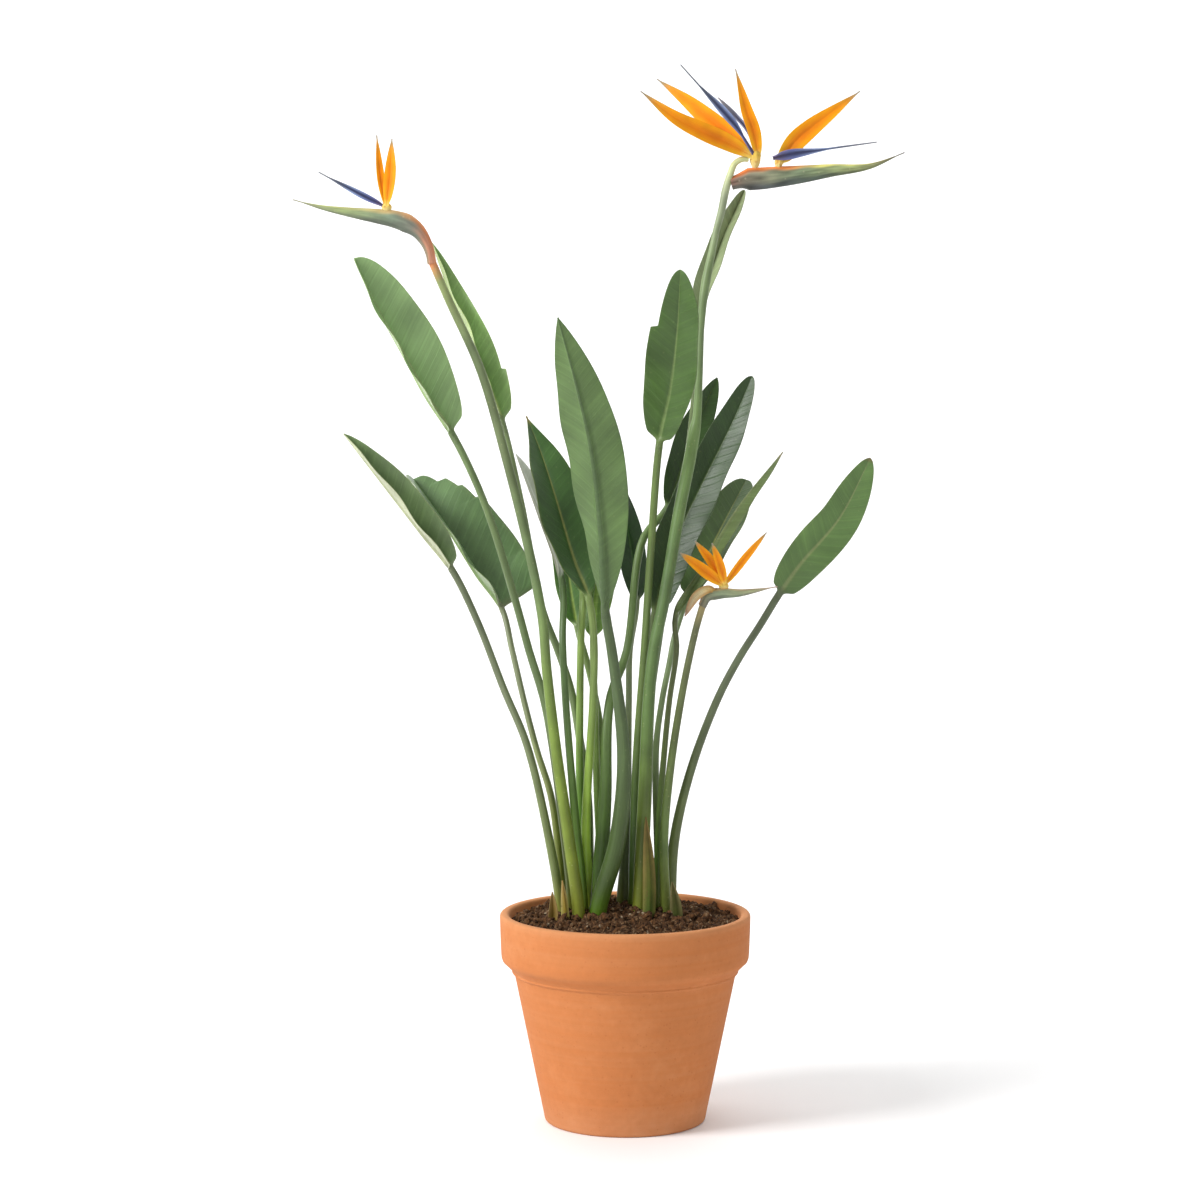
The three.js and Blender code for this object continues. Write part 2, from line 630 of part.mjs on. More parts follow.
function soilGeometry(roots) {
  const profile = [new THREE.Vector2(0, FLOOR + GAP)];
  for (const z of [FLOOR + GAP, POT_HEIGHT - COLLAR_HEIGHT, SOIL_EDGE]) {
    profile.push(new THREE.Vector2(innerRadius(z) - 2 * GAP, z));
  }
  for (let k = SOIL_RINGS - 1; k >= 0; k--) {
    const share = k / SOIL_RINGS;
    const height = between(SOIL_CROWN, SOIL_EDGE, share ** 1.6);
    profile.push(new THREE.Vector2(innerRadius(SOIL_EDGE) * share, height));
  }
  const geometry = new THREE.LatheGeometry(profile, SOIL_SIDES).rotateX(Math.PI / 2);
  const position = geometry.getAttribute("position");
  for (let i = 0; i < position.count; i++) {
    const [x, y, z] = [position.getX(i), position.getY(i), position.getZ(i)];
    if (z <= SOIL_EDGE) continue;
    const lump = Math.sin(x / 5.3 + 2 * Math.cos(y / 9)) * Math.cos(y / 6.1 + Math.sin(x / 11));
    position.setZ(i, z + LUMP * lump);
  }
  return geometryOf(roots.reduce((soil, root) => soil.subtract(root), solidOf(geometry)));
}

const plant = new THREE.Group();
function add(name, geometry, finish) {
  const mesh = new THREE.Mesh(geometry, finish);
  mesh.name = name;
  plant.add(mesh);
  return mesh;
}

const roots = [
  ...LEAVES.map((leaf) => {
    const { curve, foot, turn } = leafStalk(leaf);
    return solidOf(loft(stalkRings(curve, leaf.stalk, foot * FOOT_OVERLAP, turn, SOCKET)));
  }),
  ...STEMS.map((stem) => stemSolid(stem, SOCKET)),
  ...SHEATHS.filter(({ hangs }) => !hangs).map((sheath) => solidOf(petalGeometry(sheath, SOCKET, SHEATH_FOOT))),
];
add("pot", potGeometry(), terracotta);
add("soil", soilGeometry(roots), earth);
for (const leaf of LEAVES) add(leaf.name, leafGeometry(leaf), leafGreen);
for (const stem of STEMS) add(stem.name, geometryOf(stemSolid(stem)), stemGreen);

// Each spathe is cut by what stands in it, and each floret by its stem and its tongues.
for (const spathe of SPATHES) {
  let beak = spatheSolid(spathe);
  for (const stem of STEMS) beak = beak.subtract(stemSolid(stem, GAP));
  for (const floret of FLORETS.filter(({ stands }) => stands === spathe.name)) {
    beak = beak.subtract(sepalsSolid(floret, GAP));
    for (const tongue of floret.tongues) beak = beak.subtract(solidOf(petalGeometry(tongue, GAP)));
  }
  add(spathe.name, geometryOf(largestOf(beak)), spatheGreen);
}
for (const floret of FLORETS) {
  let sepals = sepalsSolid(floret);
  for (const stem of STEMS) sepals = sepals.subtract(stemSolid(stem, GAP));
  for (const tongue of floret.tongues) sepals = sepals.subtract(solidOf(petalGeometry(tongue, GAP)));
  add(`${floret.name}_sepals`, geometryOf(largestOf(sepals)), sepalOrange);
  floret.tongues.forEach((tongue, i) => {
    const number = floret.tongues.length > 1 ? `_${i + 1}` : "";
    add(`${floret.name}_tongue${number}`, petalGeometry(tongue), tongueBlue);
  });
}
for (const sheath of SHEATHS) {
  let blade = solidOf(petalGeometry(sheath, 0, SHEATH_FOOT));
  for (const spathe of SPATHES.filter(({ name }) => name === sheath.hangs)) {
    blade = blade.subtract(spatheSolid(spathe, GAP));
    for (const floret of FLORETS) blade = blade.subtract(sepalsSolid(floret, GAP));
  }
  add(sheath.name, geometryOf(largestOf(blade)), drySheath);
}

export default plant;
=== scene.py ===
import bpy
import math
import numpy as np
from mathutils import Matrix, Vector, noise


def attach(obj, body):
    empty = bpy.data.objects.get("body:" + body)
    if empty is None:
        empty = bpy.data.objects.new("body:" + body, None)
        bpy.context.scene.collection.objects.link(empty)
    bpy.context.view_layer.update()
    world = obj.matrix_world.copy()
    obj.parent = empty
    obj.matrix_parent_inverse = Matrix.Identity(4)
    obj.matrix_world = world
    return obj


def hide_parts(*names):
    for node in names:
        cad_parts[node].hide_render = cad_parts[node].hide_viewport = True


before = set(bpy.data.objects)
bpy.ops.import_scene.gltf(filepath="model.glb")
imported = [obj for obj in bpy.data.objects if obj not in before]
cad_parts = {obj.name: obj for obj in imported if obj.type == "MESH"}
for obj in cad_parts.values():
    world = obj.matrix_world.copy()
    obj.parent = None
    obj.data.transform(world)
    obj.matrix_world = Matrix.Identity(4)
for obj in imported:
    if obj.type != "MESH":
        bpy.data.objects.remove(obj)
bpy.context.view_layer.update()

# camera
photoView = {"place": (-0.025, -3.0, 0.75), "tilt": 85.6, "lens": 91.53, "sensor": 36.0, "reach": 50}


def showObject(name, data):
    made = bpy.data.objects.new(name, data)
    bpy.context.scene.collection.objects.link(made)
    return made


def setCamera():
    lensData = bpy.data.cameras.new("photoCamera")
    lensData.lens = photoView["lens"]
    lensData.sensor_width = photoView["sensor"]
    lensData.clip_end = photoView["reach"]
    camera = showObject("photoCamera", lensData)
    camera.location = photoView["place"]
    camera.rotation_euler = (math.radians(photoView["tilt"]), 0, 0)
    bpy.context.scene.camera = camera


setCamera()
print("camera set")


# small helpers
def tone(red, green, blue):  # a colour as seen on screen, 0 to 255, to the linear one that shaders take
    def lift(value):
        value /= 255
        return value / 12.92 if value <= 0.04045 else ((value + 0.055) / 1.055) ** 2.4
    return (lift(red), lift(green), lift(blue), 1.0)


def mixTones(a, b, share):  # share may be a number or an array of them
    share = np.clip(np.asarray(share, float), 0, 1)[..., None]
    return np.asarray(a)[..., :3] * (1 - share) + np.asarray(b)[..., :3] * share


def alongTones(stops, share):  # stops: a place from 0 to 1, then red, green and blue
    colours = np.array([tone(*stop[1:]) for stop in stops])
    places = [stop[0] for stop in stops]
    return np.stack([np.interp(share, places, colours[:, k]) for k in range(3)], axis=-1)


def ease(value, start, end):  # 0 before start, 1 after end, smooth between
    share = np.clip((np.asarray(value, float) - start) / (end - start), 0, 1)
    return share * share * (3 - 2 * share)


class nodeWire:  # a node's output: a sum of wires makes the maths nodes for it
    def __init__(self, node, output=0):
        self.node, self.socket = node, node.outputs[output]

    def __getitem__(self, output):
        return nodeWire(self.node, output)

    def maths(self, operation, other=0.0, clamp=False):
        values = {0: self, 1: other}
        return put(self.node.id_data, "ShaderNodeMath", values, operation=operation, use_clamp=clamp)

    def __add__(self, other):
        return self.maths("ADD", other)

    def __sub__(self, other):
        return self.maths("SUBTRACT", other)

    def __mul__(self, other):
        return self.maths("MULTIPLY", other)

    def __truediv__(self, other):
        return self.maths("DIVIDE", other)

    def __rtruediv__(self, other):
        return put(self.node.id_data, "ShaderNodeMath", {0: other, 1: self}, operation="DIVIDE")


def put(tree, kind, inputs=None, **settings):  # a node with its sockets filled or linked
    made = tree.nodes.new(kind)
    for name, value in settings.items():
        setattr(made, name, value)
    for key, value in (inputs or {}).items():
        if isinstance(value, nodeWire):
            tree.links.new(value.socket, made.inputs[key])
        else:
            made.inputs[key].default_value = value
    return nodeWire(made)


def arrangeNodes(tree):  # columns from left to right, so that the tree can be read
    depth, rows = {}, {}

    def depthOf(item):
        if item.name not in depth:
            feeds = [link.from_node for socket in item.inputs for link in socket.links]
            depth[item.name] = 1 + max([depthOf(feed) for feed in feeds], default=0)
        return depth[item.name]

    for item in tree.nodes:
        column = depthOf(item)
        rows[column] = rows.get(column, 0) + 1
        item.location = (column * 220, -rows[column] * 240)


def newGroup(name, kind, inputs, outputs):  # behind each socket's name stands its kind or its first value
    tree = bpy.data.node_groups.new(name, kind + "NodeTree")
    for flow, sockets in (("INPUT", inputs), ("OUTPUT", outputs)):
        for label, value in sockets.items():
            sort = value if isinstance(value, str) else {int: "Int", float: "Float"}[type(value)]
            socket = tree.interface.new_socket(label, in_out=flow, socket_type="NodeSocket" + sort)
            if value != sort:
                socket.default_value = value
    return tree, nodeWire(tree.nodes.new("NodeGroupInput")), tree.nodes.new("NodeGroupOutput")


def closeGroup(tree, result, *wires):
    for socket, wire in zip(result.inputs, wires):
        tree.links.new(wire.socket, socket)
    arrangeNodes(tree)
    return tree


def mapRange(tree, value, low, high, start=0.0, end=1.0):
    return put(tree, "ShaderNodeMapRange", {
        "Value": value, "From Min": low, "From Max": high, "To Min": start, "To Max": end})


def mixColour(tree, share, a, b):
    return put(tree, "ShaderNodeMix", {0: share, 6: a, 7: b}, data_type="RGBA")[2]


def scaleColour(tree, colour, factor):
    return put(tree, "ShaderNodeVectorMath", {0: colour, "Scale": factor}, operation="SCALE")


# shader groups shared by the materials
def makeFibreGroup():  # fine lines along a surface: leaf veins, stalk fibres, petal veins
    tree, given, result = newGroup("fibreLines", "Shader", {
        "Place": "Vector", "Spacing": 0.0015, "Length": 0.08, "Depth": 0.1, "Vein Depth": 0.0,
        "Vein Spacing": 0.011}, {"Shade": "Float", "Height": "Float"})
    split = put(tree, "ShaderNodeSeparateXYZ", {0: given["Place"]})
    fine = put(tree, "ShaderNodeCombineXYZ", {0: split[0] / given["Length"], 1: split[1] / given["Spacing"],
                                              2: split[2]})
    lines = put(tree, "ShaderNodeTexNoise", {"Vector": fine, "Scale": 1.0, "Detail": 2.0, "Roughness": 0.6})
    broad = put(tree, "ShaderNodeVectorMath", {0: fine, 1: (0.6, 0.13, 1.0)}, operation="MULTIPLY")
    bands = put(tree, "ShaderNodeTexNoise", {"Vector": broad, "Scale": 1.0, "Detail": 1.0})
    both = lines * 0.5 + bands * 0.5
    # main veins: a thin line at each whole number of spacings, a little uneven
    count = split[1] / given["Vein Spacing"] + (bands - 0.5) * 1.6
    raised = mapRange(tree, count.maths("PINGPONG", 0.5), 0.0, 0.16, 1.0, 0.0) * given["Vein Depth"]
    spread = (both - 0.5) * (given["Depth"] * 4.0)
    return closeGroup(tree, result, spread + raised + 1.0, both + raised * 2.0)


def makeMottleGroup():  # cloudy patches at two sizes, as a factor round 1
    tree, given, result = newGroup("cloudyPatches", "Shader", {"Place": "Vector", "Size": 0.03, "Depth": 0.1},
                                   {"Shade": "Float", "Cloud": "Float"})
    scale = 1.0 / given["Size"]
    large = put(tree, "ShaderNodeTexNoise", {"Vector": given["Place"], "Scale": scale, "Detail": 3.0,
                                             "Roughness": 0.55})
    small = put(tree, "ShaderNodeTexNoise", {"Vector": given["Place"], "Scale": scale * 6.3, "Detail": 2.0})
    cloud = large * 0.7 + small * 0.3
    return closeGroup(tree, result, (cloud - 0.5) * (given["Depth"] * 4.0) + 1.0, cloud)


def makeFleckGroup():  # scattered specks, as a mask
    tree, given, result = newGroup("scatteredFlecks", "Shader", {"Place": "Vector", "Size": 0.003,
                                                                 "Amount": 0.2}, {"Mask": "Float"})
    cells = put(tree, "ShaderNodeTexVoronoi", {"Vector": given["Place"], "Scale": 1.0 / given["Size"]})
    chance = put(tree, "ShaderNodeSeparateXYZ", {0: cells["Color"]})
    near = mapRange(tree, cells["Distance"], 0.2, 0.42, 1.0, 0.0)
    chosen = chance.maths("LESS_THAN", given["Amount"])
    return closeGroup(tree, result, chosen.maths("MULTIPLY", near, clamp=True))


fibreLines, cloudyPatches, scatteredFlecks = makeFibreGroup(), makeMottleGroup(), makeFleckGroup()


def effect(tree, kind, *values):  # a shader group, with its first sockets filled in their order
    return put(tree, "ShaderNodeGroup", dict(enumerate(values)), node_tree=kind)


def newMaterial(name, roughness, **fixed):  # fixed are plain numbers on the shader's own sockets
    made = bpy.data.materials.new(name)
    made.use_nodes = True
    skin = made.node_tree.nodes["Principled BSDF"]
    for label, value in {"Roughness": roughness, **fixed}.items():
        skin.inputs[label.replace("_", " ")].default_value = value
    return made, made.node_tree, put(made.node_tree, "ShaderNodeTexCoord")["Object"]


def dress(made, colour, height=None, bump=None, gloss=None):  # joins the effects to the material's own shader
    tree = made.node_tree
    wires = {"Base Color": colour}
    if bump:
        strength, distance = bump
        wires["Normal"] = put(tree, "ShaderNodeBump", {"Strength": strength, "Distance": distance,
                                                       "Height": height})
    if gloss:
        wires["Roughness"] = gloss
    for label, wire in wires.items():
        tree.links.new(wire.socket, tree.nodes["Principled BSDF"].inputs[label])
    arrangeNodes(tree)
    return made


def plantSkin(name, look):  # leaf, stalk, petal or sheath: painted base colour, fibres, patches and flecks
    made, tree, body = newMaterial(name, look["roughness"], Specular_IOR_Level=look["specular"],
                                   Subsurface_Weight=look.get("subsurface", 0.0))
    paint = put(tree, "ShaderNodeVertexColor", layer_name="tint")
    fibres = effect(tree, fibreLines, put(tree, "ShaderNodeUVMap", uv_map="fibreMap"), *look["fibres"])
    clouds = effect(tree, cloudyPatches, body, *look["patches"])
    *fleckSizes, strength = look["flecks"]
    flecks = effect(tree, scatteredFlecks, body, *fleckSizes)
    colour = scaleColour(tree, paint, fibres["Shade"] * clouds["Shade"])
    colour = mixColour(tree, flecks["Mask"] * strength, colour, tone(*look["fleckTone"]))
    gloss = ((clouds["Cloud"] - 0.5) * 0.25).maths("ADD", look["roughness"], clamp=True)
    return dress(made, colour, fibres["Height"], look["bump"], gloss)


# fibres: spacing, length, depth and vein depth; patches: size and depth; flecks: size, amount and strength
skinLooks = {
    "leafSkin": {"roughness": 0.4, "specular": 0.45, "fibres": (0.0016, 0.09, 0.2, 0.16),
                 "patches": (0.04, 0.1), "flecks": (0.003, 0.04, 0.12), "fleckTone": (135, 150, 95),
                 "bump": (0.6, 0.0007)},
    "stemSkin": {"roughness": 0.45, "specular": 0.4, "fibres": (0.0012, 0.12, 0.18), "patches": (0.03, 0.12),
                 "flecks": (0.0025, 0.05, 0.2), "fleckTone": (190, 185, 130), "bump": (0.35, 0.0005)},
    "spatheSkin": {"roughness": 0.5, "specular": 0.4, "fibres": (0.0011, 0.1, 0.24), "patches": (0.02, 0.14),
                   "flecks": (0.003, 0.05, 0.25), "fleckTone": (200, 190, 160), "bump": (0.4, 0.0005)},
    "sepalSkin": {"roughness": 0.52, "specular": 0.22, "subsurface": 0.08, "fibres": (0.0009, 0.06, 0.1),
                  "patches": (0.015, 0.05), "flecks": (0.003, 0.03, 0.06), "fleckTone": (225, 120, 20),
                  "bump": (0.3, 0.0004)},
    "tongueSkin": {"roughness": 0.45, "specular": 0.4, "fibres": (0.0008, 0.05, 0.18), "patches": (0.01, 0.1),
                   "flecks": (0.002, 0.05, 0.3), "fleckTone": (150, 155, 200), "bump": (0.3, 0.0003)},
    "drySkin": {"roughness": 0.8, "specular": 0.2, "fibres": (0.001, 0.05, 0.3), "patches": (0.01, 0.2),
                "flecks": (0.003, 0.12, 0.5), "fleckTone": (95, 70, 45), "bump": (0.6, 0.0006)},
}
skins = {name: plantSkin(name, look) for name, look in skinLooks.items()}
print("plant skins made")


# paths and skins
mm = 0.001
seeds = {"leaf": 1.7, "stem": 4.4, "spathe": 2.3, "floret": 3.1, "base": 8.1, "sheath": 9.4}


def pathThrough(points):  # a smooth curve through the points, which keeps its knots apart by their distance
    p = np.array(points, float)
    p = np.vstack([2 * p[0] - p[1], p, 2 * p[-1] - p[-2]])
    spots = [p[1:2]]
    steps = np.arange(1, 101)[:, None] / 100
    for k in range(1, len(p) - 2):
        a, b, c, d = p[k - 1:k + 3]
        before, middle, after = [math.sqrt(np.linalg.norm(q)) for q in (b - a, c - b, d - c)]
        leave = ((b - a) / before - (c - a) / (before + middle) + (c - b) / middle) * middle
        arrive = ((c - b) / middle - (d - b) / (middle + after) + (d - c) / after) * middle
        spots.append(b + leave * steps + (3 * (c - b) - 2 * leave - arrive) * steps ** 2
                     + (2 * (b - c) + leave + arrive) * steps ** 3)
    spots = np.vstack(spots)
    lengths = np.concatenate([[0], np.cumsum(np.linalg.norm(np.diff(spots, axis=0), axis=1))])
    return {"spots": spots, "lengths": lengths, "total": lengths[-1]}


def spotsAt(path, shares):
    wanted = np.clip(np.asarray(shares, float), 0, 1) * path["total"]
    return np.stack([np.interp(wanted, path["lengths"], path["spots"][:, k]) for k in range(3)], axis=-1)


def shareOfPoint(path, index):
    return path["lengths"][int(100 * index)] / path["total"]


def placesOn(path, shares, turns):  # spot, way along, way across and the way that the upper side faces
    shares = np.asarray(shares, float)
    step = 0.4 / path["total"]
    along = spotsAt(path, shares + step) - spotsAt(path, shares - step)
    along /= np.linalg.norm(along, axis=1)[:, None]
    viewer = np.array([0.0, -1.0, 0.0])
    face = viewer - along * (along @ viewer)[:, None]
    face /= np.linalg.norm(face, axis=1)[:, None]
    across = np.cross(along, face)
    angle = np.radians(np.broadcast_to(turns, shares.shape))[:, None]
    return {"spot": spotsAt(path, shares), "across": across * np.cos(angle) - face * np.sin(angle),
            "face": face * np.cos(angle) + across * np.sin(angle)}


def paintMesh(mesh, fibreMap, tints):  # both with a row for each vertex, the map in millimetres
    corners = np.empty(len(mesh.loops), int)
    mesh.loops.foreach_get("vertex_index", corners)
    uv = mesh.uv_layers.get("fibreMap") or mesh.uv_layers.new(name="fibreMap")
    uv.data.foreach_set("uv", (fibreMap[corners] * mm).astype(np.float32).ravel())
    paint = np.ones((len(mesh.vertices), 4), np.float32)
    paint[:, :3] = tints
    mesh.attributes.new("tint", "FLOAT_COLOR", "POINT").data.foreach_set("color", paint.ravel())


def buildSkin(name, rings, fibreMap, tints, material):  # rings: rows x 2 sides x columns x 3, in millimetres
    rows, _, columns, _ = rings.shape

    def asLoop(values):  # one closed ring for each row: the upper side, then the under side back again
        return np.concatenate([values[:, 0], values[:, 1, ::-1]], axis=1).reshape(rows * 2 * columns, -1)

    grid = np.arange(rows * 2 * columns).reshape(rows, -1)
    turned = np.roll(grid, -1, axis=1)
    faces = [np.stack([grid[:-1], grid[1:], turned[1:], turned[:-1]], axis=-1).reshape(-1, 4)]
    for row, order in ((0, [0, 1, 2, 3]), (-1, [0, 3, 2, 1])):  # the foot and the tip are closed
        upper, under = grid[row, :columns], grid[row, ::-1][:columns]
        faces.append(np.stack([upper[:-1], upper[1:], under[1:], under[:-1]], axis=-1)[:, order])
    mesh = bpy.data.meshes.new(name)
    mesh.from_pydata((asLoop(rings) * mm).tolist(), [], np.vstack(faces).tolist())
    paintMesh(mesh, asLoop(fibreMap), asLoop(tints))
    mesh.materials.append(material)
    mesh.shade_smooth()
    return mesh


def addPiece(name, mesh, slot, *nodes):
    piece = showObject(name, mesh)
    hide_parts(*nodes)
    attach(piece, "root")


def pieceName(node):  # leaf_low_left becomes leafLowLeft
    first, *rest = node.split("_")
    return first + "".join(word.capitalize() for word in rest)


def cloudAt(points, size, seed):  # soft random values round 0 at points in millimetres
    flat = points.reshape(-1, 3)
    values = [noise.noise(Vector((x / size + seed, y / size, z / size))) for x, y, z in flat]
    return np.array(values).reshape(points.shape[:-1])


def outlineAt(t, belly, point):
    foot = point * belly / (1 - belly)
    return t ** foot * (1 - t) ** point / (belly ** foot * (1 - belly) ** point)


quarterRound = 1.57  # the way round an oval section from its edge to its middle, in radii


def halfTurn(columns, gap):  # angles over one side, which keeps a small gap to the other side
    return gap + (math.pi - 2 * gap) * np.arange(columns) / (columns - 1)


def ringsOfRound(places, wide, deep, columns):  # an oval section, its upper and lower side apart by a hair
    angle = halfTurn(columns, 0.06)[None, :, None]
    wide, deep = (np.broadcast_to(v, len(places["spot"]))[:, None, None] for v in (wide, deep))
    spot, across, face = (places[part][:, None] for part in ("spot", "across", "face"))
    sides = [spot + across * wide * np.cos(angle) + face * deep * sign * np.sin(angle) for sign in (1, -1)]
    return np.stack(sides, axis=1)


def ringsOfBlade(places, halves, outs, shape):
    # outs: rows x columns of signed distances from the midrib, from the right edge to the left
    side = np.sign(outs)
    distance = np.abs(outs)
    fold = np.radians(shape["fold"])[:, None]
    curl = math.radians(shape["curl"]) * distance / np.where(outs < 0, halves[:, :1], halves[:, 1:])
    chord, lean = fold + curl / 2, fold + curl
    across, face = places["across"][:, None], places["face"][:, None]
    middle = (places["spot"][:, None] + across * (side * distance * np.cos(chord))[..., None]
              + face * (distance * np.sin(chord))[..., None])
    normal = np.where((side == 0)[..., None], face,
                      face * np.cos(lean)[..., None] - across * (side * np.sin(lean))[..., None])
    middle = middle + normal * shape["wave"][..., None]
    half = shape["thick"] / 2 / np.where(side == 0, np.cos(lean), 1)
    return np.stack([middle + normal * (half - shape["groove"])[..., None],
                     middle - normal * (half + shape["rib"])[..., None]], axis=1)


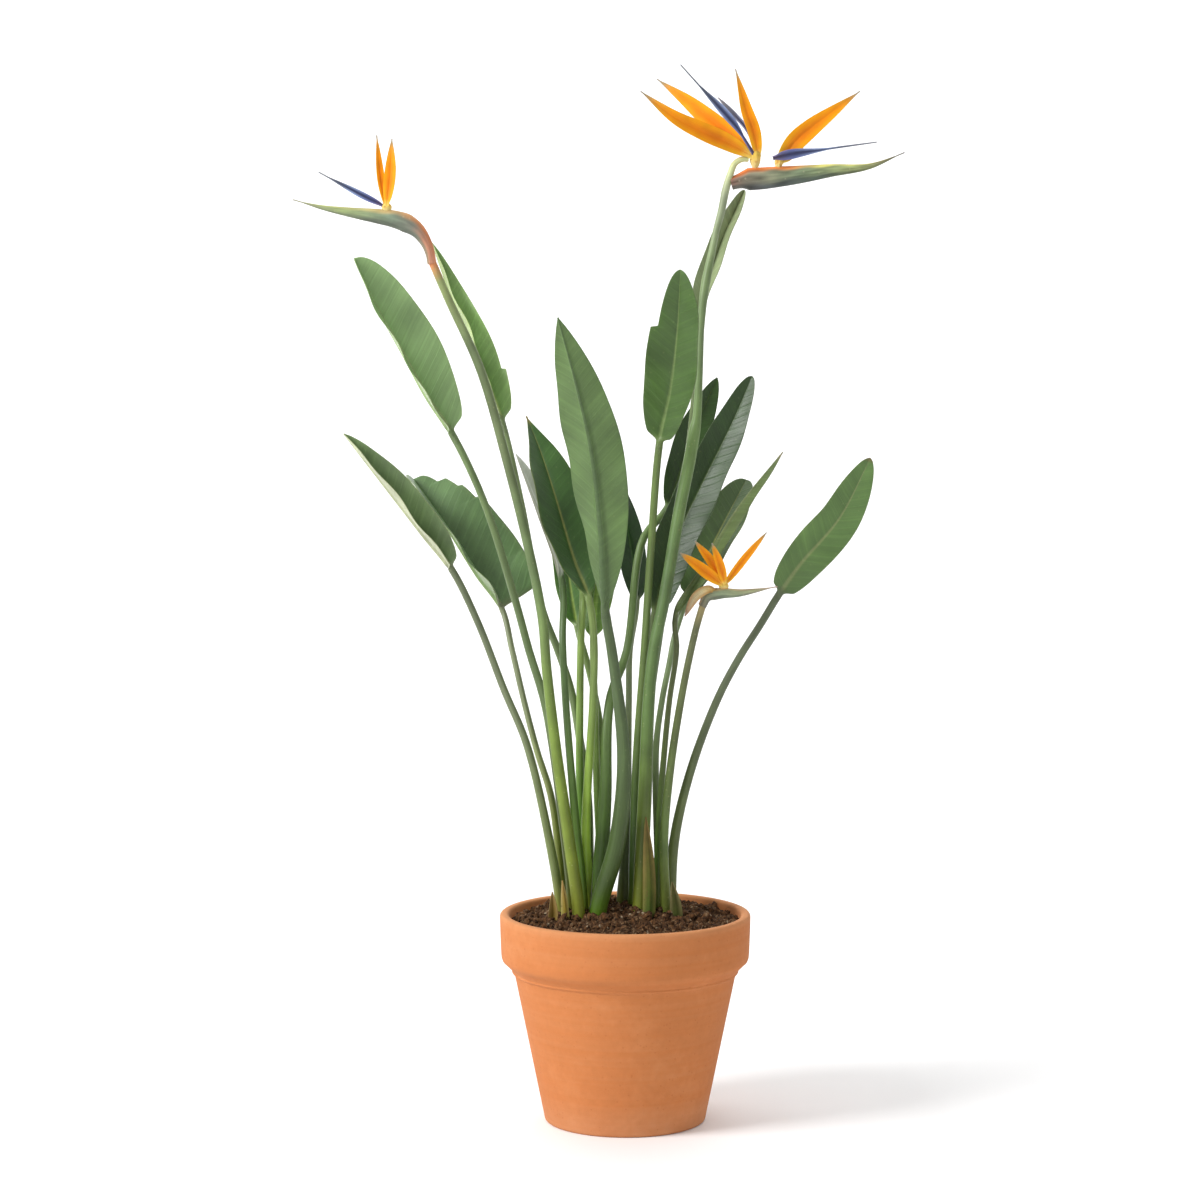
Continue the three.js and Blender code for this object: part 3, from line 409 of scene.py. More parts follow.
# leaves
# spine in millimetres from the soil to the tip, foot the point where the blade starts, turn and fold in degrees
# at foot and tip, stalk the radii at its two ends, nicks the side, place and depth of each tear in the edge,
# tones those of the parts in toneParts, and tipFrom where the dry tip begins
leaves = {
    "leaf_low_left": {
        "spine": [(-64, -10, 212), (-75, -14, 282), (-97, -19, 378), (-119, -26, 433), (-144, -36, 500),
            (-169, -48, 553), (-194, -62, 586), (-224, -78, 626), (-269, -95, 685)],
        "foot": 5, "width": 47, "belly": 0.4, "point": 0.75, "turn": (42, 52), "fold": (52, 50), "curl": 10,
        "stalk": (5.6, 3.6),
        "tones": [(112, 137, 88), (168, 174, 138), (156, 162, 118), (103, 112, 83), (106, 119, 67),
            (138, 140, 61)],
    },
    "leaf_torn_left": {
        "spine": [(-62, 14, 211), (-73, 18, 318), (-88, 24, 367), (-101, 32, 416), (-113, 46, 465),
            (-124, 64, 506), (-149, 86, 538), (-182, 107, 587), (-217, 140, 633)],
        "foot": 5, "width": 109, "belly": 0.3, "point": 0.3, "turn": (60, 50), "fold": (46, 44),
        "curl": -14, "stalk": (5.4, 3.3),
        "nicks": [(1, 0.68, 0.12), (1, 0.8, 0.1), (1, 0.9, 0.3)],
        "tones": [(97, 126, 80), (98, 120, 72), (140, 150, 100), (117, 125, 93), (108, 117, 50),
            (140, 137, 48)],
    },
    "leaf_high_left": {
        "spine": [(-52, 4, 211), (-63, -2, 311), (-79, -8, 416), (-95, -12, 471), (-108, -17, 520),
            (-139, -22, 619), (-169, -32, 684), (-192, -43, 720), (-216, -57, 765), (-237, -75, 804),
            (-258, -95, 851)],
        "foot": 6, "width": 74, "belly": 0.48, "point": 0.5, "turn": (44, 46), "fold": (46, 40), "curl": 8,
        "stalk": (6, 3.8),
        "tones": [(137, 169, 110), (135, 157, 105), (153, 168, 114), (101, 120, 76), (82, 95, 36),
            (113, 117, 37)],
    },
    "leaf_beside_left_flower": {
        "spine": [(-36, 38, 211), (-37, 36, 315), (-45, 33, 376), (-54, 30, 427), (-67, 27, 467),
            (-82, 25, 507), (-104, 25, 617), (-122, 27, 694), (-135, 34, 730), (-152, 43, 775),
            (-175, 56, 825), (-193, 70, 872)],
        "foot": 7, "width": 46, "belly": 0.36, "point": 0.8, "turn": (40, 50), "fold": (50, 50), "curl": 4,
        "stalk": (5.5, 3.6),
        "nicks": [(1, 0.25, 0.2)],
        "tones": [(136, 171, 102), (147, 166, 103), (184, 196, 127), (109, 126, 82), (97, 115, 53),
            (129, 136, 51)],
    },
    "leaf_back_left": {
        "spine": [(-23, 34, 211), (-24, 38, 381), (-34, 46, 437), (-48, 60, 488), (-58, 110, 541),
            (-71, 160, 611)],
        "foot": 3, "width": 34, "belly": 0.42, "point": 0.6, "turn": (10, 20), "fold": (22, 26), "curl": -8,
        "stalk": (5.2, 3.4),
        "tones": [(66, 104, 36), (95, 127, 55), (127, 148, 67), (119, 139, 84), (81, 109, 44),
            (112, 131, 44)],
    },
    "leaf_dark_centre": {
        "spine": [(-35, 8, 212), (-39, 8, 289), (-32, 10, 419), (-31, 14, 478), (-36, 22, 518),
            (-51, 43, 556), (-70, 65, 618), (-85, 90, 662), (-100, 114, 698)],
        "foot": 4, "width": 60, "belly": 0.42, "point": 1.2, "turn": (30, 30), "fold": (25, 25), "curl": -6,
        "stalk": (6.2, 3.8), "tipFrom": 0.93,
        "tones": [(51, 85, 30), (84, 109, 49), (119, 126, 65), (119, 140, 77), (170, 208, 76),
            (182, 197, 63), (115, 100, 46)],
    },
    "leaf_tall_centre": {
        "spine": [(-28, -24, 210), (-10, -32, 275), (-3, -38, 324), (-2, -47, 376), (-13, -67, 471),
            (-20, -88, 516), (-24, -104, 594), (-33, -122, 670), (-47, -142, 732), (-64, -165, 794)],
        "foot": 5, "width": 60, "belly": 0.48, "point": 0.9, "turn": (146, 172), "fold": (24, 18),
        "curl": -6, "stalk": (9.2, 4.3, 0.6),
        "tones": [(57, 84, 39), (81, 106, 56), (60, 82, 42), (67, 85, 47), (57, 77, 27), (73, 103, 14)],
    },
    "leaf_grey_behind": {
        "spine": [(-41, -8, 211), (-52, 0, 330), (-59, 5, 418), (-62, 10, 477), (-63, 46, 535),
            (-86, 90, 598), (-111, 128, 659)],
        "foot": 4, "width": 34, "belly": 0.45, "point": 0.85, "turn": (100, 120), "fold": (30, 30),
        "curl": 0, "stalk": (6, 4),
        "tones": [(97, 105, 86), (107, 113, 98), (121, 122, 104), (85, 109, 61), (75, 105, 28),
            (106, 126, 30)],
    },
    "leaf_dark_back": {
        "spine": [(0, 32, 212), (3, 40, 325), (4, 50, 415), (5, 60, 464), (12, 72, 512), (6, 110, 567),
            (-8, 150, 634)],
        "foot": 4, "width": 30, "belly": 0.42, "point": 0.7, "turn": (0, 10), "fold": (20, 22), "curl": -6,
        "stalk": (9, 3.2, 0.22),
        "tones": [(27, 64, 9), (35, 74, 14), (48, 86, 22), (129, 141, 106), (60, 74, 29), (89, 96, 31)],
    },
    "leaf_upright_notched": {
        "spine": [(8, 12, 212), (11, 3, 350), (19, 1, 470), (25, -9, 569), (33, -26, 675), (43, -49, 726),
            (49, -75, 784), (51, -105, 840)],
        "foot": 4, "width": 56, "belly": 0.46, "point": 0.5, "turn": (-30, -16), "fold": (18, 22),
        "curl": -6, "stalk": (5.8, 3.8),
        "nicks": [(-1, 0.66, 0.26)],
        "tones": [(67, 95, 40), (86, 107, 56), (103, 123, 70), (94, 114, 59), (62, 88, 30), (91, 110, 31)],
    },
    "leaf_behind_right_flower": {
        "spine": [(21, 18, 211), (21, 9, 379), (36, 6, 499), (54, 10, 608), (68, 15, 716), (71, 22, 785),
            (77, 32, 815), (85, 42, 842), (98, 53, 878), (119, 64, 924)],
        "foot": 5, "width": 31, "belly": 0.45, "point": 0.5, "turn": (-24, -8), "fold": (50, 50), "curl": 0,
        "stalk": (5.4, 3.4),
        "tones": [(131, 144, 106), (114, 131, 91), (87, 101, 64), (88, 104, 59), (65, 85, 32),
            (96, 107, 33)],
    },
    "leaf_far_back": {
        "spine": [(-27, -4, 212), (-20, 0, 320), (-15, 20, 418), (2, 45, 465), (18, 62, 575), (43, 82, 606),
            (67, 120, 674), (96, 160, 737)],
        "foot": 5, "width": 37, "belly": 0.42, "point": 0.7, "turn": (0, 14), "fold": (26, 26), "curl": -6,
        "stalk": (7.8, 3.8, 0.38),
        "tones": [(38, 66, 14), (48, 77, 20), (64, 89, 29), (102, 126, 72), (64, 92, 27), (94, 113, 29)],
    },
    "leaf_large_right": {
        "spine": [(24, 36, 212), (15, 33, 336), (25, 34, 436), (30, 40, 504), (51, 50, 576), (79, 60, 635),
            (109, 70, 695), (128, 78, 739)],
        "foot": 3, "width": 48, "belly": 0.4, "point": 0.5, "turn": (2, -12), "fold": (26, 26), "curl": 4,
        "stalk": (6, 3.8),
        "tones": [(42, 67, 26), (61, 79, 41), (71, 91, 44), (88, 104, 59), (65, 85, 32), (96, 107, 33)],
    },
    "leaf_teal_back": {
        "spine": [(35, 28, 211), (31, 30, 366), (37, 32, 416), (44, 36, 451), (50, 42, 481), (63, 50, 518),
            (92, 95, 573), (126, 150, 632)],
        "foot": 5, "width": 46, "belly": 0.5, "point": 0.45, "turn": (-32, -20), "fold": (20, 20),
        "curl": -4, "stalk": (5.2, 3),
        "tones": [(70, 94, 48), (106, 115, 60), (122, 129, 68), (113, 132, 88), (72, 87, 42),
            (103, 108, 42)],
    },
    "leaf_narrow_right": {
        "spine": [(31, 4, 211), (35, 6, 319), (39, 8, 369), (44, 10, 419), (51, 12, 469), (50, 12, 503),
            (76, 6, 548), (109, -12, 607), (152, -40, 666)],
        "foot": 5, "width": 30, "belly": 0.38, "point": 0.8, "turn": (84, 104), "fold": (30, 30), "curl": 0,
        "stalk": (5.4, 3.2), "tipFrom": 0.93,
        "tones": [(71, 92, 47), (88, 105, 58), (105, 114, 71), (80, 89, 51), (67, 93, 25), (96, 114, 27),
            (117, 110, 82)],
    },
    "leaf_wide_right": {
        "spine": [(45, 8, 211), (49, 8, 279), (65, 6, 349), (91, 2, 420), (111, -4, 460), (133, -10, 496),
            (151, -18, 527), (170, -30, 556), (207, -44, 602), (235, -64, 661)],
        "foot": 6, "width": 43, "belly": 0.42, "point": 0.55, "turn": (4, 4), "fold": (14, 14), "curl": -6,
        "stalk": (6.5, 3.7), "tipFrom": 0.97,
        "tones": [(75, 103, 49), (94, 113, 66), (115, 126, 77), (84, 94, 67), (90, 104, 54), (121, 125, 51),
            (98, 86, 48)],
    },
    "leaf_short_back": {
        "spine": [(-22, 15, 211), (-28, 20, 328), (-30, 28, 417), (-32, 34, 478), (-25, 80, 554),
            (-22, 140, 627)],
        "foot": 3, "width": 36, "belly": 0.42, "point": 0.7, "turn": (170, 176), "fold": (24, 24),
        "curl": -6, "stalk": (5, 3.2),
        "tones": [(75, 118, 40), (103, 138, 59), (125, 156, 68), (134, 157, 88), (108, 138, 59),
            (140, 157, 55)],
    },
    "leaf_hidden_back": {
        "spine": [(-40, 21, 211), (-45, 22, 327), (-45, 26, 417), (-44, 32, 477), (-42, 44, 522),
            (-42, 76, 570), (-47, 122, 640)],
        "foot": 4, "width": 30, "belly": 0.42, "point": 0.7, "turn": (-20, -30), "fold": (26, 26),
        "curl": -6, "stalk": (5.4, 3.6),
        "tones": [(62, 98, 50), (85, 115, 70), (110, 135, 85), (131, 156, 83), (81, 122, 33),
            (111, 142, 35)],
    },
}
# the lower-stalk tone holds the stalk's yellower real colour together with painted shade from the neighbouring
# stalks
toneParts = ("top", "under", "rib", "stalk", "stalkLow", "stalkFoot", "tip")
leafBuild = {"rootDepth": 36, "stalkRows": 44, "bladeRows": 88, "columns": 25, "thickness": 0.9,
             "edgeThickness": 0.62, "ribDepth": 3.2, "flatness": 0.86, "taper": 2.2, "tipHalf": 0.9,
             "wave": 1.6, "waveLength": 74, "groove": 0.3}


def stalkRadius(stalk, share):
    low, high, *sheath = stalk
    rest = 1 / (1 + (share / sheath[0]) ** 4) if sheath else (1 - share) ** leafBuild["taper"]
    return high + (low - high) * rest


def rooted(spine):
    x, y, z = spine[0]
    return pathThrough([(x, y, z - leafBuild["rootDepth"]), *spine])


def leafRows(leaf):  # shares of the blade at which its rows lie: closer at the foot, the tip and each nick
    rows = [np.linspace(0, 1, leafBuild["bladeRows"]) ** 1.25, [0.004, 0.009, 0.985, 0.994]]
    rows += [at + np.array([-0.008, -0.004, 0.0, 0.004, 0.008, 0.012]) for _, at, _ in leaf.get("nicks", [])]
    return np.unique(np.round(np.concatenate(rows), 5))


def bladeHalves(leaf, t):  # half widths, on the right and on the left, which drop where the edge is torn
    full = leaf["width"] / 2 * outlineAt(t, leaf["belly"], leaf["point"])
    high = leaf["stalk"][1]
    halves = []
    for side in (-1, 1):
        left = np.ones_like(t)
        for nickSide, at, deep in leaf.get("nicks", []):
            if nickSide == side:
                left = left * (1 - deep * ease(t, at - 0.006, at + 0.006))
        halves.append(np.maximum(full * left, high + (leafBuild["tipHalf"] - high) * t))
    return np.stack(halves, axis=1)


def bladePaint(leaf, tones, t, reach, ribMask, blotch):
    sides = []
    for side, base in enumerate(("top", "under")):
        colour = np.array(tones[base][:3]) * (1 + blotch[:, side])[..., None]
        colour = mixTones(colour, tones["rib"], 0.85 * ribMask)
        colour = mixTones(colour, np.array(tones["rib"][:3]) * 0.9, ease(reach, 0.96, 1.0) * 0.35)
        if "tip" in tones:
            colour = mixTones(colour, tones["tip"], ease(t, leaf["tipFrom"], 1.0)[:, None])
        sides.append(mixTones(tones["stalk"], colour, ease(t, 0.0, 0.06)[:, None]))
    return np.stack(sides, axis=1)


def stalkPaint(tones, rings, seed):
    height = rings[..., 2]
    # painted shade: below 440 mm the stalk blends into its lower tone, which carries the shade cast by the
    # stalks around it
    paint = mixTones(tones["stalk"], tones["stalkLow"], 1 - ease(height, 260, 440))
    paint = mixTones(paint, tones["stalkFoot"], 1 - ease(height, 205, 250))
    return paint * (1 + cloudAt(rings, 18, seed * 5.7) * 0.2)[..., None]


def leafMesh(name, leaf, seed):
    size, columns = leafBuild, leafBuild["columns"]
    path = rooted(leaf["spine"])
    foot = shareOfPoint(path, leaf["foot"] + 1)
    # stalk
    v = np.linspace(0, 1, size["stalkRows"], endpoint=False)
    radius = stalkRadius(leaf["stalk"], v)
    stalkPlaces = placesOn(path, v * foot, leaf["turn"][0])
    stalkRings = ringsOfRound(stalkPlaces, radius, radius * size["flatness"], columns)
    # blade: fine steps over the midrib, wide ones out to the edge
    t = leafRows(leaf)
    turn, fold = (leaf[part][0] + (leaf[part][1] - leaf[part][0]) * t for part in ("turn", "fold"))
    places = placesOn(path, foot + (1 - foot) * t, turn)
    high = leaf["stalk"][1]
    halves = bladeHalves(leaf, t)
    widest = halves.max(axis=1)
    near = np.minimum(0.36 * widest, high + (size["tipHalf"] / 2 - high) * t)[:, None]
    inner = np.array([0, 0.3, 0.6, 0.9, 1.25])
    outer = np.array([0.12, 0.26, 0.42, 0.58, 0.74, 0.88, 0.975, 1.0])
    right, left = (np.hstack([near * inner, near * 1.25 + (halves[:, k, None] - near * 1.25) * outer])
                   for k in (0, 1))
    outs = np.hstack([left[:, ::-1], -right[:, 1:]])
    away = np.abs(outs)
    reach = away / np.where(outs < 0, halves[:, :1], halves[:, 1:])
    # the blade waves along its edge, and its midrib thins out to the tip
    distance = (1 - foot) * t * path["total"]
    swing = 2 * math.pi * distance / size["waveLength"]
    wobble = np.where(outs > 0, np.sin(swing + seed)[:, None], np.sin(1.13 * swing + 2.1 * seed + 1)[:, None])
    fade = (ease(t, 0.03, 0.25) * ease(1 - t, 0.0, 0.2) * np.minimum(1, widest / 25))[:, None]
    ribShape = np.sqrt(np.clip(1 - (away / (1.2 * near)) ** 2, 0, 1))
    bladeRings = ringsOfBlade(places, halves, outs, {
        "fold": fold,
        "curl": leaf["curl"],
        "wave": leaf.get("wave", size["wave"]) * wobble * fade * reach ** 2.4,
        "thick": size["thickness"] + (size["edgeThickness"] - size["thickness"]) * ease(reach, 0.9, 1.0),
        "rib": size["ribDepth"] * ((1 - t) ** 0.8)[:, None] * ribShape,
        "groove": size["groove"] * ribShape * ((1 - t) ** 0.5)[:, None],
    })
    opened = ease(t, 0.0, 0.05)[:, None, None, None]
    roundRings = ringsOfRound(places, high, high * size["flatness"], columns)
    bladeRings = roundRings * (1 - opened) + bladeRings * opened
    # where veins run: across is the way out from the midrib, along leans forward with it
    alongStalk = (v * foot * path["total"])[:, None]
    aroundStalk = np.linspace(1, -1, columns) * radius[:, None] * quarterRound
    stalkMap = np.stack(np.broadcast_arrays(alongStalk, aroundStalk), axis=-1)
    bladeMap = np.stack([away, (foot * path["total"] + distance)[:, None] - 0.75 * away], axis=-1)
    fibreMap = np.concatenate([stalkMap, bladeMap])
    # paint
    tones = {part: tone(*value) for part, value in zip(toneParts, leaf["tones"])}
    blotch = cloudAt(bladeRings, 26, seed * 7.3) * 0.2 + cloudAt(bladeRings, 90, seed * 3.1) * 0.22
    ribMask = 1 - ease(away, 0.3 * near, 0.8 * near)
    tints = np.concatenate([stalkPaint(tones, stalkRings, seed),
                            bladePaint(leaf, tones, t, reach, ribMask, blotch)])
    rings = np.concatenate([stalkRings, bladeRings])
    return buildSkin(name, rings, np.stack([fibreMap, fibreMap], axis=1), tints, skins["leafSkin"])


for number, (node, leaf) in enumerate(leaves.items()):
    name = pieceName(node)
    addPiece(name, leafMesh(name, leaf, seeds["leaf"] + number), "leaf", node)
print("leaves grown:", len(leaves))


# geometry node trees
def growMesh(name, source, tree, values):  # runs a tree on a source mesh and gives back a plain mesh
    holder = bpy.data.objects.new(name + "Source", source)
    bpy.context.scene.collection.objects.link(holder)
    modifier = holder.modifiers.new(tree.name, "NODES")
    modifier.node_group = tree
    sockets = {s.name: s.identifier for s in tree.interface.items_tree if s.item_type == "SOCKET"}
    for label, value in values.items():
        modifier[sockets[label]] = value
    depsgraph = bpy.context.evaluated_depsgraph_get()
    depsgraph.update()
    mesh = bpy.data.meshes.new_from_object(holder.evaluated_get(depsgraph))
    mesh.name = name
    holder.modifiers.remove(modifier)
    bpy.data.objects.remove(holder)
    return mesh


def newMeshTree(name, inputs):
    return newGroup(name, "Geometry", {"Geometry": "Geometry", **inputs}, {"Geometry": "Geometry"})


def closeMesh(tree, result, geometry, material):
    real = put(tree, "GeometryNodeRealizeInstances", {0: geometry})
    skin = put(tree, "GeometryNodeSetMaterial", {"Geometry": real, "Material": material})
    return closeGroup(tree, result, skin)


def openSockets(sockets, name="Value"):  # those that the node's present kind of data uses
    return [socket for socket in sockets if socket.enabled and socket.name == name]


def makeTubeTree():
    tree, given, result = newMeshTree("stemTube", {"Sides": 24, "Flatness": 0.9, "Skin": "Material"})
    line = put(tree, "GeometryNodeMeshToCurve", {"Mesh": given["Geometry"]})
    radius = put(tree, "GeometryNodeInputNamedAttribute", {"Name": "radius"}, data_type="FLOAT")
    circle = put(tree, "GeometryNodeCurvePrimitiveCircle", {"Resolution": given["Sides"], "Radius": 1.0})
    flat = put(tree, "ShaderNodeCombineXYZ", {0: 1.0, 1: given["Flatness"], 2: 1.0})
    oval = put(tree, "GeometryNodeTransform", {"Geometry": circle, "Scale": flat})
    tube = put(tree, "GeometryNodeCurveToMesh", {"Curve": line, "Profile Curve": oval, "Scale": radius,
                                                 "Fill Caps": True})
    smooth = put(tree, "GeometryNodeSetShadeSmooth", {"Geometry": tube})
    return closeMesh(tree, result, smooth, given["Skin"])


stemTube = makeTubeTree()

# flower stems
stems = {
    "flower_left_stem": {
        "spine": [(-46, -27, 212), (-54, -29, 275), (-68, -31, 374), (-77, -34, 453), (-81, -39, 503),
            (-94, -44, 571), (-116, -48, 661), (-140, -52, 745), (-171, -56, 814), (-186, -60, 849)],
        "radii": (6.8, 6.4, 5.8, 5.3, 5.1, 4.9, 4.7, 4.6, 4.2, 4.1),
        "tones": [(0, 126, 130, 38), (0.15, 106, 123, 33), (0.32, 104, 125, 50), (0.54, 99, 119, 74),
            (0.72, 101, 114, 76), (0.87, 115, 130, 90), (0.97, 135, 146, 94), (1, 205, 125, 80)],
    },
    "flower_right_stem": {
        "spine": [(14, -18, 212), (19, -17, 323), (23, -15, 422), (28, -13, 471), (38, -11, 520),
            (53, -8, 608), (63, -5, 658), (68, -4, 687), (70, -3, 699), (72, -1, 736), (74, 1, 784),
            (76, 3, 813), (79, 5, 833), (85, 7, 862), (89, 8, 882), (94, 8, 901), (98, 8, 921),
            (103, 8, 938), (107, 9, 947), (114, 9, 951), (120, 10, 951)],
        "radii": (8, 7.5, 6.6, 6.3, 6.3, 6.6, 6.6, 6.2, 4.8, 4, 3.4, 4.5, 4.9, 3.8, 3.6, 4, 4.2, 3.6, 3.4,
            3.1, 3),
        "tones": [(0, 118, 122, 30), (0.13, 95, 112, 40), (0.28, 84, 108, 56), (0.47, 86, 110, 65),
            (0.62, 111, 139, 79), (0.75, 106, 125, 84), (0.85, 113, 133, 87), (0.94, 142, 152, 122),
            (1, 205, 210, 150)],
    },
    "flower_right_lower_stem": {
        "spine": [(40, -10, 212), (38, -16, 283), (44, -25, 354), (56, -35, 434), (68, -44, 493),
            (75, -50, 519)],
        "radii": (5.4, 4.6, 4, 3.6, 3.4, 3.4),
        "tones": [(0, 129, 138, 52), (0.29, 96, 119, 57), (0.64, 87, 99, 54), (0.93, 90, 95, 64),
            (1, 150, 135, 90)],
    },
}
stemBuild = {"sides": 28, "flatness": 0.92, "step": 4}

def lineMesh(name, path, shares, radii):
    spots = spotsAt(path, shares) * mm
    mesh = bpy.data.meshes.new(name)
    mesh.from_pydata(spots.tolist(), [(k, k + 1) for k in range(len(spots) - 1)], [])
    mesh.attributes.new("radius", "FLOAT", "POINT").data.foreach_set("value", np.asarray(radii) * mm)
    return mesh


def stemMesh(name, stem):
    path = rooted(stem["spine"])
    knots = [shareOfPoint(path, k) for k in range(len(stem["spine"]) + 1)]
    shares = np.linspace(0, 1, int(path["total"] / stemBuild["step"]))
    radii = np.interp(shares, knots, [stem["radii"][0], *stem["radii"]])
    mesh = growMesh(name, lineMesh(name + "Line", path, shares, radii), stemTube, {
        "Sides": stemBuild["sides"], "Flatness": stemBuild["flatness"], "Skin": skins["stemSkin"]})
    # each vertex is painted after the nearest of 400 spots on the stem's line
    spots = np.empty(len(mesh.vertices) * 3)
    mesh.vertices.foreach_get("co", spots)
    spots = spots.reshape(-1, 3) / mm
    line = spotsAt(path, np.linspace(0, 1, 400))
    nearest = np.array([np.argmin(((line - spot) ** 2).sum(axis=1)) for spot in spots])
    share = nearest / 399
    away = spots - line[nearest]
    tints = alongTones(stem["tones"], share) * (1 + 0.25 * cloudAt(spots, 20, seeds["stem"]))[:, None]
    paintMesh(mesh, np.stack([share * path["total"], away[:, 0] - away[:, 2] * 0.5], axis=-1), tints)
    return mesh


for node, stem in stems.items():
    addPiece(pieceName(node), stemMesh(pieceName(node), stem), "stem", node)
print("flower stems set")

# spathes, the beaks: the tones run from neck to tip for the upper edge, the flank and the keel
spathes = {
    "flower_left_spathe": {
        "spine": [(-186, -60, 847), (-188, -60, 858), (-192, -60, 868), (-200, -60, 879), (-211, -60, 886),
            (-224, -60, 890), (-236, -60, 892), (-264, -60, 896), (-293, -60, 901), (-319, -60, 908)],
        "depth": 20.5, "width": 14, "neck": 4.4, "up": 90, "grown": 0.3, "band": (0.25, 0.8),
        "streaks": 0.3,
        "edge": [(0, 196, 128, 96), (0.2, 206, 128, 78), (0.36, 186, 152, 104), (0.6, 178, 176, 118),
            (0.85, 162, 172, 102), (1, 140, 138, 112)],
        "flank": [(0, 186, 128, 100), (0.14, 172, 118, 92), (0.26, 118, 118, 106), (0.4, 118, 134, 112),
            (0.7, 142, 156, 104), (1, 146, 144, 120)],
        "keel": [(0, 150, 128, 100), (0.2, 98, 104, 92), (0.5, 86, 94, 80), (0.8, 116, 128, 92),
            (1, 128, 124, 108)],
    },
    "flower_right_spathe": {
        "spine": [(103.5, 10, 927.5), (117, 10, 931), (137, 10, 932.8), (171, 10, 936.3), (200, 10, 940),
            (239, 10, 944.3), (273, 10, 957.5)],
        "depth": 22, "width": 14, "neck": 6.5, "up": -90, "grown": 0.1, "band": (0.5, 0.88),
        "streaks": 0.75,
        "edge": [(0, 186, 106, 66), (0.1, 208, 114, 52), (0.34, 212, 126, 62), (0.42, 192, 150, 86),
            (0.5, 194, 188, 104), (0.75, 190, 188, 108), (0.9, 136, 130, 88), (1, 82, 78, 74)],
        "flank": [(0, 126, 94, 80), (0.08, 128, 120, 102), (0.4, 118, 134, 102), (0.7, 140, 150, 98),
            (0.9, 120, 116, 84), (1, 80, 76, 72)],
        "keel": [(0, 88, 84, 78), (0.2, 74, 80, 80), (0.5, 70, 82, 68), (0.8, 110, 118, 78),
            (1, 82, 78, 74)],
    },
    "flower_right_lower_spathe": {
        "spine": [(74, -49.5, 517), (79.5, -50, 526.5), (92, -50, 529.5), (111, -50, 530), (147, -50, 536)],
        "depth": 12, "width": 9, "neck": 4.2, "up": -90, "grown": 0.2, "band": (0.4, 0.85), "streaks": 0.35,
        "edge": [(0, 142, 112, 90), (0.3, 170, 148, 104), (0.7, 180, 162, 126), (1, 186, 150, 138)],
        "flank": [(0, 114, 108, 90), (0.3, 132, 146, 114), (0.7, 152, 156, 116), (1, 178, 150, 132)],
        "keel": [(0, 96, 96, 82), (0.5, 102, 116, 92), (1, 152, 134, 116)],
    },
}
spatheBuild = {"rows": 90, "columns": 21, "tip": 0.6, "gap": 0.05}


def spatheRings(spathe, places, t):  # also the height over the keel and the half depth
    def slender(u):
        return (u + 0.06) ** 0.25 * (1 - u) ** 1.2

    share = slender(t) / slender(0.12)
    grown = np.minimum(1, t / spathe["grown"]) ** 2
    deep, wide = (np.maximum(spathe["neck"] + (spathe[part] / 2 * share - spathe["neck"]) * grown,
                             spatheBuild["tip"])[:, None] for part in ("depth", "width"))
    angle = halfTurn(spatheBuild["columns"], spatheBuild["gap"])[None]
    lift = np.sin(angle)
    swell = ease(t, 0.0, 0.12)[:, None]
    rings, heights = [], []
    for sign in (1, -1):
        # the flanks draw in to the seam on top, where two lips meet, and to a blunt keel below
        pinch = 1 - swell * (0.42 if sign > 0 else 0.22) * lift ** 2.5
        seam = np.exp(-(np.cos(angle) / 0.1) ** 2) * (0.9 if sign > 0 else 0) * ease(t, 0.1, 0.25)[:, None]
        up = sign * lift * deep - seam * np.minimum(1, deep / 5)
        out = wide * pinch * np.cos(angle)
        rings.append(places["spot"][:, None] + places["across"][:, None] * out[..., None]
                     + places["face"][:, None] * up[..., None])
        heights.append(np.broadcast_to(sign * lift, up.shape))
    return np.stack(rings, axis=1), np.stack(heights, axis=1), deep


def spatheMesh(name, spathe, seed):
    path = pathThrough(spathe["spine"])
    t = np.unique([*np.linspace(0, 1, spatheBuild["rows"]), 0.004, 0.01, 0.02, 0.985, 0.994])
    rings, height, deep = spatheRings(spathe, placesOn(path, t, spathe["up"]), t)
    edge, flank, keel = (alongTones(spathe[part], t)[:, None, None] for part in ("edge", "flank", "keel"))
    wander = cloudAt(rings, 14, seed) * 0.2
    paint = mixTones(flank, edge, ease(height + wander, *spathe["band"]))
    paint = mixTones(paint, keel, ease(-height + wander, 0.1, 0.75))
    # long dark streaks that run with the beak: x stretched, seen in its own length and height
    far = (t * path["total"])[:, None, None]
    lengthwise = np.stack(np.broadcast_arrays(far * 0.1, height * 6, rings[..., 1] * 0.3), axis=-1)
    paint = paint * (1 + spathe["streaks"] * cloudAt(lengthwise, 1.6, seed + 3))[..., None]
    row = np.linspace(1, -1, spatheBuild["columns"])
    around = np.stack([row, -row]) * deep[:, None] * quarterRound
    fibreMap = np.stack(np.broadcast_arrays(far, around), axis=-1)
    return buildSkin(name, rings, fibreMap, paint, skins["spatheSkin"])


for number, (node, spathe) in enumerate(spathes.items()):
    name = pieceName(node)
    addPiece(name, spatheMesh(name, spathe, seeds["spathe"] + number), "spathe", node)
print("spathes set")

